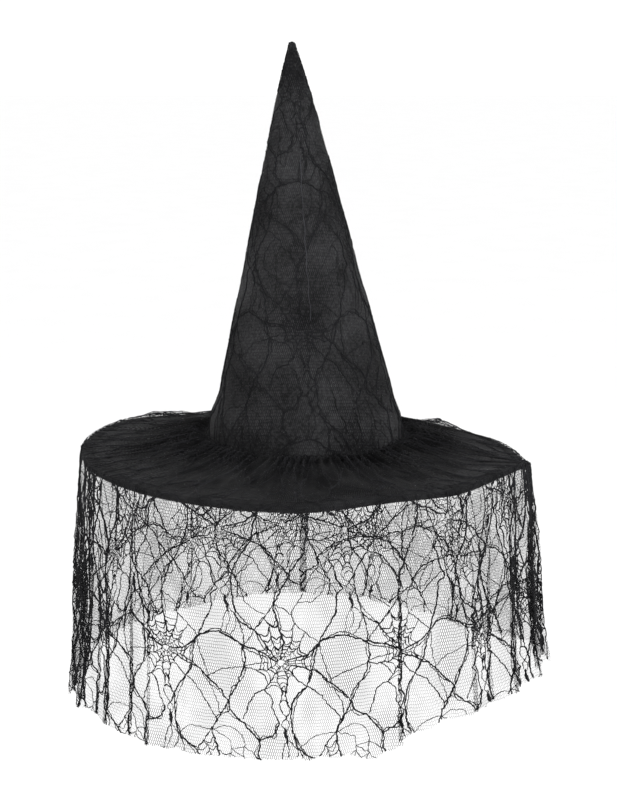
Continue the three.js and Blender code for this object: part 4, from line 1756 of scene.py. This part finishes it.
@dataclass
class LaceStrip:
    """The one long lace strip: gathered at the crown's foot, laid over the brim, and hung as the veil."""

    workroom: Workroom
    brim: BrimForm = field(default_factory=BrimForm)
    columns: int = 960
    brim_rows: int = 46
    veil_rows: int = 72
    heading_top: float = 12.6 * MM
    heading_radius: float = 100.9 * MM
    thread_height: float = 12.8 * MM
    panel_over: float = 6.2 * MM
    edge_radius: float = 228.7 * MM
    edge_over: float = 6.9 * MM
    gathers: int = 92
    gather_height: float = 8.8 * MM
    hump_height: float = 3.2 * MM
    puff_height: float = 2.5 * MM
    loft_height: float = 18.0 * MM
    loft_angle: float = math.radians(139)
    first_hub: float = math.radians(-5.6)
    hub_row: float = 152.0 * MM
    hem_seed: int = 57
    folds: tuple[Fold, ...] = (
        Fold(-98, 3.6, -7, 10), Fold(-92, 3.4, 7, 10), Fold(-86, 3.6, -7, 10), Fold(-80, 3.4, 7, 10),
        Fold(-74, 3.6, -6, 11), Fold(-68, 3.6, 7, 12), Fold(-61, 3.8, -6, 12), Fold(-53, 3.6, 5, 12),
        Fold(-46, 3.2, -5, 10), Fold(-38.2, 3.0, 6, 9), Fold(-14, 6.0, 2.5, 2), Fold(21.5, 3.0, 6, 9),
        Fold(33, 4.0, -4, 4), Fold(42, 3.6, 5, 11), Fold(50, 3.6, -5, 12), Fold(57, 3.6, 6, 12),
        Fold(63.5, 3.4, -7, 12), Fold(69.5, 3.4, 7, 12), Fold(75.5, 3.4, -7, 11), Fold(81.5, 3.4, 7, 10),
        Fold(87.5, 3.4, -7, 10), Fold(94, 3.6, 7, 10), Fold(104, 4.0, -6, 8), Fold(121, 4.0, -5, 6),
        Fold(139, 5.0, 6, 7), Fold(158, 4.0, -5, 6), Fold(-179.1, 2.4, 9, 11), Fold(-164, 5.0, 4, 4),
        Fold(-145, 4.0, -6, 7), Fold(-127, 5.0, 6, 7), Fold(-108, 4.0, 6, 8),
    )
    hem_stations: Line = (
        (-180, 237), (-150, 241), (-114, 247), (-92, 256), (-70, 252), (-60, 246), (-45, 249), (-20, 247),
        (0, 247), (10, 243), (14, 247), (19, 246), (22, 231), (26, 225), (45, 220), (65, 220), (80, 219),
        (95, 226), (110, 240), (135, 256), (158, 244), (180, 237),
    )
    bulge: Line = ((0.0, 0.0), (0.15, 2.5), (0.35, 5.0), (0.7, 7.5), (0.82, 9.0), (1.0, 14.0))

    def __post_init__(self) -> None:
        """Work out the strip's own length coordinate from the veil's path round the hat."""
        self.turn = np.linspace(-math.pi, math.pi, self.columns + 1)
        self.edge_height = float(self.brim.base(self.brim.rim)) + self.edge_over
        path = self.veil_ring(np.full((1, self.columns + 1), 0.55))[0]
        path[:, 2] = 0.0
        self.along = lengths_along(path)
        self.along -= np.interp(self.first_hub, self.turn, self.along)
        self.length = self.along[-1] - self.along[0]
        self.still_level = float(self.veil_ring(np.zeros((1, self.columns + 1)))[..., 2].min()) - 3.0 * MM

    def hem(self, angle: Array) -> Array:
        """Height of the uneven raw hem."""
        degrees, depth = np.array(self.hem_stations).T
        nearest = np.interp(np.degrees(angle), degrees, depth)
        wide = sum(np.interp(np.degrees(angle) + shift, degrees, depth) for shift in (-3, -1.5, 1.5, 3)) / 4
        return -(nearest + wide) / 2 * MM

    def veil_ring(self, share: Array) -> Array:
        """Points of the veil at a share of its drop.

        Args:
            share: Rows by columns, from 0 at the brim's edge to 1 at the hem.

        Returns:
            Rows by columns by 3.
        """
        turn = self.turn[None, :]
        grown = smooth(share / 0.5) * (0.75 + 0.25 * share)
        ripple = Ripple(41, 24.0, 0.0, 12)(turn) * 1.6 * MM + Ripple(42, 9.0, 0.0, 8)(turn) * 2.0 * MM
        out, slide = ripple * grown, np.zeros_like(grown)
        for fold in self.folds:
            spot = np.degrees((turn - math.radians(fold.angle) + math.pi) % TURN - math.pi) / fold.width
            window = np.where(np.abs(spot) < 1.0, np.cos(np.clip(spot, -1, 1) * math.pi / 2) ** 2, 0.0)
            out = out + fold.depth * MM * window * grown
            slide = slide - fold.lap * MM * np.sin(np.clip(spot, -1, 1) * math.pi) * window * grown
        radius = self.edge_radius + 0.9 * MM * smooth(share / 0.04) + out
        side = (
            0.4 + 0.6 * np.abs(np.sin(turn)) ** 1.5
            + 0.3 * np.maximum(np.sin(turn), 0.0) ** 3 * smooth((share - 0.5) / 0.5)
        )
        shares, lifts = np.array(self.bulge).T
        radius = radius + side * np.interp(share, shares, lifts * MM)
        angle = turn + slide / self.edge_radius
        edge = self.brim.place(turn, np.full(turn.shape, self.brim.rim), self.edge_over)[..., 2]
        start = edge - 1.0 * MM
        drop = start + (self.hem(turn) - start) * share
        height = drop + (1 - smooth(share / 0.02)) * (edge - start)
        return polar(angle, radius, height)

    def veil_ground(self) -> Piece:
        """The hanging net, one layer, with a ragged cut hem."""
        share = np.linspace(0.0, 1.0, self.veil_rows)[:, None] + np.zeros((1, self.columns + 1))
        points = self.veil_ring(share)
        rng = np.random.default_rng(self.hem_seed)
        jags = rng.uniform(-1.1, 1.1, self.columns) * MM
        bites = np.repeat(rng.choice([0.0, 0.0, 1.6, 3.4], self.columns // 6), 6) * MM
        bites = np.convolve(np.concatenate([bites[-2:], bites, bites[:2]]), np.full(5, 0.2), "valid")
        ragged = jags + bites
        rag = np.concatenate([ragged, ragged[:1]]) * smooth((share - 0.95) / 0.05)
        points[..., 2] += rag
        tremble = Ripple(61, 120.0, 900.0, 16)(self.turn[None, :], points[..., 2])
        sway = 0.5 * MM * tremble * smooth(share / 0.15)
        points[..., 0] += sway * np.sin(self.turn)
        points[..., 1] -= sway * np.cos(self.turn)
        steps = np.linalg.norm(np.diff(points, axis=0), axis=-1)
        down = np.vstack([np.zeros((1, self.columns + 1)), np.cumsum(steps, 0)])
        uv = np.stack([self.along[None, :] + 0.0 * down, -down], -1)
        self.still_drop = np.array(
            [np.interp(-self.still_level, -z, d) for z, d in zip(points[..., 2].T, down.T)]
        )
        return Patchwork().grid(points[:, :-1], uv, ring=True, flip=True).build("veil_lace_ground", merge=0)

    def gather(self, angle: Array, share: Array) -> Array:
        """Height of the gathers on the brim.

        Args:
            angle: Angle from the front.
            share: Share of the way from the crown's foot to the edge.

        Returns:
            Height over the top cloth.
        """
        phase = (
            self.gathers * angle + 2.6 * Ripple(71, 17.0, 0.0, 8)(angle)
            + 1.6 * Ripple(72, 6.0, 9.0, 6)(angle, share)
        )
        fold = (0.5 + 0.5 * np.cos(phase)) ** 1.4
        reach = 0.62 + 0.33 * Ripple(73, 13.0, 0.0, 8)(angle)
        fade = np.exp(-np.maximum(0.0, share - 0.12) / np.maximum(reach * 0.55, 0.08))
        start = 0.25 + 0.75 * smooth(share / 0.1)
        broad = 0.5 + 0.5 * Ripple(74, 9.0, 3.0, 8)(angle, share)
        hump = self.hump_height * broad * smooth(share / 0.12) * np.exp(-(((share - 0.24) / 0.17) ** 2))
        behind = 0.5 - 0.5 * np.cos(angle)
        puff = (
            self.puff_height * behind * np.exp(-(((share - 0.3) / 0.16) ** 2))
            * (0.5 + 0.6 * Ripple(75, 11.0, 0.0, 8)(angle)).clip(0)
        )
        beside = np.exp(
            -(((np.abs(angle) - self.loft_angle) / math.radians(15)) ** 2)
        ) * np.where(angle < 0, 1.0, 0.36)
        loft = (
            self.loft_height * beside * np.exp(-(((share - 0.78) / 0.12) ** 2))
            * (0.55 + 0.6 * Ripple(77, 26.0, 0.0, 8)(angle)).clip(0)
        )
        ahead = np.exp(-((angle / math.radians(50)) ** 2))
        tall = self.gather_height * (1.0 - 0.7 * beside - 0.25 * ahead)
        edge = smooth((1.0 - share) / 0.12)
        small = 0.35 * MM * (1.0 + Ripple(76, 60.0, 14.0, 14)(angle, share)) * edge
        return tall * fold * fade * start + hump + puff * (1.0 - beside) + loft + small

    def brim_ground(self) -> Piece:
        """The net over the brim, gathered at the crown's foot."""
        share = np.linspace(0.0, 1.0, self.brim_rows)[:, None] ** 1.25
        angle = self.turn[None, :]
        start, end = self.heading_radius, self.edge_radius
        radius = start + (end - start) * share + 0.0 * angle
        rise = (self.heading_top - self.panel_over) * np.exp(-(radius - start) / (6.0 * MM))
        over = self.panel_over + rise + self.gather(angle, share)
        over = over + (self.edge_over - self.panel_over) * smooth((share - 0.88) / 0.08)
        points = self.brim.place(angle, radius, over)
        points[-1] = self.veil_ring(np.zeros((1, self.columns + 1)))[0]
        steps = np.linalg.norm(np.diff(points, axis=0), axis=-1).mean(1)
        up = np.concatenate([np.cumsum(steps[::-1])[::-1], [0.0]])
        loose = smooth(share / 0.06) * smooth((1.0 - share) / 0.25)
        across = 5.0 * MM * Ripple(81, 30.0, 6.0, 12)(angle, share)
        across = (across + 5.0 * MM * Ripple(82, 9.0, 12.0, 8)(angle, share)) * loose
        down = 7.0 * MM * Ripple(83, 16.0, 9.0, 10)(angle, share) * loose
        uv = np.stack([self.along[None, :] + across, up[:, None] + down], -1)
        self.brim_length = float(up[0])
        return Patchwork().grid(points[:, :-1], uv, ring=True, flip=True).build("brim_lace_ground", merge=0)

    def webs(self, ground: Piece, name: str, first: int, rows: int, **values: float) -> Piece:
        """Web threads over the strip's whole length.

        Args:
            ground: The net that carries them.
            name: The piece's name.
            first: The lowest row, counted from the one whose hubs show in front; odd rows are half-dropped.
            rows: Rows of hubs.
            **values: Other inputs of the web tree.

        Returns:
            The threads.
        """
        pitch, drop = self.workroom.drawing.pitch * MM, self.workroom.drawing.drop * MM
        columns = 2 * int(math.ceil(self.length / pitch / 2)) + 3
        shift = 0.5 * pitch if first % 2 else 0.0
        lowest = -(self.hub_row + self.edge_height) + first * drop
        row = Row.DROPS if first % 2 else Row.OVALS
        centre = (-shift, lowest + (rows - 1) * drop / 2, 0.0)
        return self.workroom.web(ground, name, row, Columns=columns, Rows=rows, Centre=centre, **values)

    @staticmethod
    def cut_level(piece: Piece, level: float, upper_name: str) -> Piece:
        """Cut a piece at a level into what lies above it and what hangs below.

        Args:
            piece: What is cut; it keeps what hangs below.
            level: Height of the cut.
            upper_name: Name of what stays above.

        Returns:
            The upper piece.
        """
        upper = add_object(upper_name, piece.data.copy())
        upper.data.name = upper_name
        plane = {"plane_co": (0, 0, level), "plane_no": (0, 0, 1)}
        for part, above in ((upper, True), (piece, False)):
            with opened(part.data) as work:
                every = [*work.verts, *work.edges, *work.faces]
                bmesh.ops.bisect_plane(work, geom=every, clear_outer=not above, clear_inner=above, **plane)
        return upper

    @staticmethod
    def islands(work: bmesh.types.BMesh) -> Iterator[list[bmesh.types.BMVert]]:
        """Find the connected parts of a mesh.

        Args:
            work: The open mesh.

        Yields:
            The vertices of each part.
        """
        unseen = set(work.verts)
        while unseen:
            island, frontier = [], [unseen.pop()]
            while frontier:
                vertex = frontier.pop()
                island.append(vertex)
                beside = {edge.other_vert(vertex) for edge in vertex.link_edges} & unseen
                unseen -= beside
                frontier += beside
            yield island

    def halves(self, whole: Piece, names: tuple[str, str]) -> list[Piece]:
        """Split threads into a front piece and a back piece, so that neither is too heavy.

        Args:
            whole: The threads of the whole ring.
            names: Names of the front and the back piece.

        Returns:
            The two pieces.
        """
        made = []
        for name, keep_front in zip(names, (True, False)):
            mesh = whole.data.copy()
            mesh.name = name
            with opened(mesh) as work:
                gone = []
                for island in self.islands(work):
                    middle = sum(vertex.co.y for vertex in island) / len(island)
                    gone += island if (middle < 0) != keep_front else []
                bmesh.ops.delete(work, geom=gone, context="VERTS")
            made.append(add_object(name, mesh))
        bpy.data.objects.remove(whole)
        return made

    def build(self) -> list[Piece]:
        """Build and dress the strip's pieces."""
        kit, room = self.workroom.finishes, self.workroom
        over = self.brim_ground()
        over_web = self.webs(over, "brim_lace_web", 1, 3, Thickness=0.75, Wander=4.0 * MM)
        veil = self.veil_ground()
        whole = self.webs(veil, "veil_web_whole", -1, 4)
        upper_web = self.cut_level(whole, self.still_level, "veil_web_upper")
        webs = self.halves(whole, ("veil_web_front", "veil_web_back"))
        upper = self.cut_level(veil, self.still_level, "veil_lace_upper")
        dress(over, kit.net, Slot.LACE, "brim_lace")
        dress(over_web, kit.web, Slot.LACE)
        dress(veil, kit.net, Slot.LACE, "veil_skirt")
        dress(upper, kit.net, Slot.LACE)
        for web in (upper_web, *webs):
            dress(web, kit.web, Slot.LACE)
        still = float(
            np.average((self.still_drop[1:] + self.still_drop[:-1]) / 2, weights=np.diff(self.along))
        )
        for piece in (veil, *webs):
            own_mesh(piece)
        angle = all_round(600)
        thread_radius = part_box("gathering_thread")[1].x - 0.4 * MM
        path = polar(angle, thread_radius, self.thread_height)
        row = room.stitches.row(
            "gathering_stitches", path, kit.thread, Spacing=5.2 * MM, Stitch=4.2 * MM, Thread=0.9 * MM
        )
        dress(row, kit.thread, Slot.THREAD, "gathering_thread")
        return [over, over_web, upper, upper_web, veil, *webs, row]


@dataclass(frozen=True)
class Lamp:
    """One soft rectangular lamp that looks at the hat."""

    name: str
    place: tuple[float, float, float]
    size: float
    watts: float
    tint: Colour = (1.0, 1.0, 1.0)


@dataclass(frozen=True)
class Studio:
    """Pale floor, white surroundings, soft lamps and the camera."""

    floor_height: float = -1.25
    floor_size: float = 60.0
    white: float = 1.12
    camera_place: tuple[float, float, float] = (0.0028, -1.86, 0.453)
    camera_pitch: float = math.radians(77.67)
    camera_lens: float = 84.015
    sensor: float = 36.0
    aim: Vector = field(default_factory=lambda: Vector((0.0, 0.0, 0.05)))
    lamps: tuple[Lamp, ...] = (
        Lamp("key_lamp", (1.9, -2.3, 2.4), 1.8, 42.0, (0.96, 0.98, 1.0)),
        Lamp("fill_lamp", (-2.6, -1.5, 1.3), 2.2, 7.0),
        Lamp("back_lamp", (-0.6, 2.4, 2.2), 1.8, 22.0),
    )

    def build(self) -> None:
        """Set the whole studio."""
        self.floor()
        self.surroundings()
        self.camera()
        for lamp in self.lamps:
            self.hang(lamp)

    def floor(self) -> None:
        """A plain pale floor, well below the veil, with a faint unevenness in its paint."""
        half = self.floor_size / 2
        line = np.linspace(-half, half, 13)
        across, along = np.meshgrid(line, line)
        points = np.stack([across, along, np.full(across.shape, self.floor_height)], -1)
        sheet = Patchwork().grid(points, points[..., :2]).build("studio_floor", merge=0)
        finish = GrainFinish(
            "studio_paint", (0.88, 0.88, 0.88), (0.9, 0.9, 0.9), 0.9, 0.1, grain=0.2, relief=0.0
        )
        sheet.data.materials.append(finish.build(ShaderGroups()))
        sheet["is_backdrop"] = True

    def surroundings(self) -> None:
        """Even white light from all round."""
        world = bpy.data.worlds.new("studio_white")
        world.use_nodes = True
        background = next(n for n in world.node_tree.nodes if n.type == "BACKGROUND")
        background.inputs["Color"].default_value = (1.0, 1.0, 1.0, 1.0)
        background.inputs["Strength"].default_value = self.white
        bpy.context.scene.world = world
        bpy.context.scene.view_settings.view_transform = "Standard"

    def camera(self) -> None:
        """The camera, level with the tip and looking a little down."""
        data = bpy.data.cameras.new("studio_camera")
        data.lens = self.camera_lens
        data.sensor_width = self.sensor
        camera = add_object("studio_camera", data)
        camera.location = self.camera_place
        camera.rotation_euler = (self.camera_pitch, 0.0, 0.0)
        bpy.context.scene.camera = camera

    def hang(self, lamp: Lamp) -> None:
        """Hang one lamp and aim it at the hat."""
        data = bpy.data.lights.new(lamp.name, "AREA")
        data.size, data.energy, data.color = lamp.size, lamp.watts, lamp.tint
        light = add_object(lamp.name, data)
        light.location = lamp.place
        light.rotation_euler = (self.aim - Vector(lamp.place)).to_track_quat("-Z", "Y").to_euler()


def dress_kept_nodes(workroom: Workroom) -> None:
    """Give the frame's own ferrule, which stays in view, its finish.

    Args:
        workroom: Where the finish hangs.
    """
    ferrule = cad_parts["wire_ferrule"]
    ferrule.data.materials.clear()
    ferrule.data.materials.append(workroom.finishes.aluminium)
    LOG.info("%-22s kept from the frame", ferrule.name)


def write_sizes() -> None:
    """Keep the frame's box and the finished model's box side by side."""
    boxes = {"cad": CAD_BOX, "visual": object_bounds()}
    plain = {name: [list(corner) for corner in box] for name, box in boxes.items()}
    LOG.info("sizes %s", plain)


def main() -> None:
    """Build the studio and every sub-assembly in order."""
    logging.basicConfig(level=logging.INFO, format="%(message)s")
    Studio().build()
    workroom = Workroom()
    assemblies = (Brim(workroom), HeadFitting(workroom), LaceStrip(workroom), Crown(workroom))
    for assembly in assemblies:
        pieces = assembly.build()
        LOG.info("%s: %d pieces", type(assembly).__name__, len(pieces))
    dress_kept_nodes(workroom)
    workroom.close()
    write_sizes()


if __name__ == "__main__":
    main()
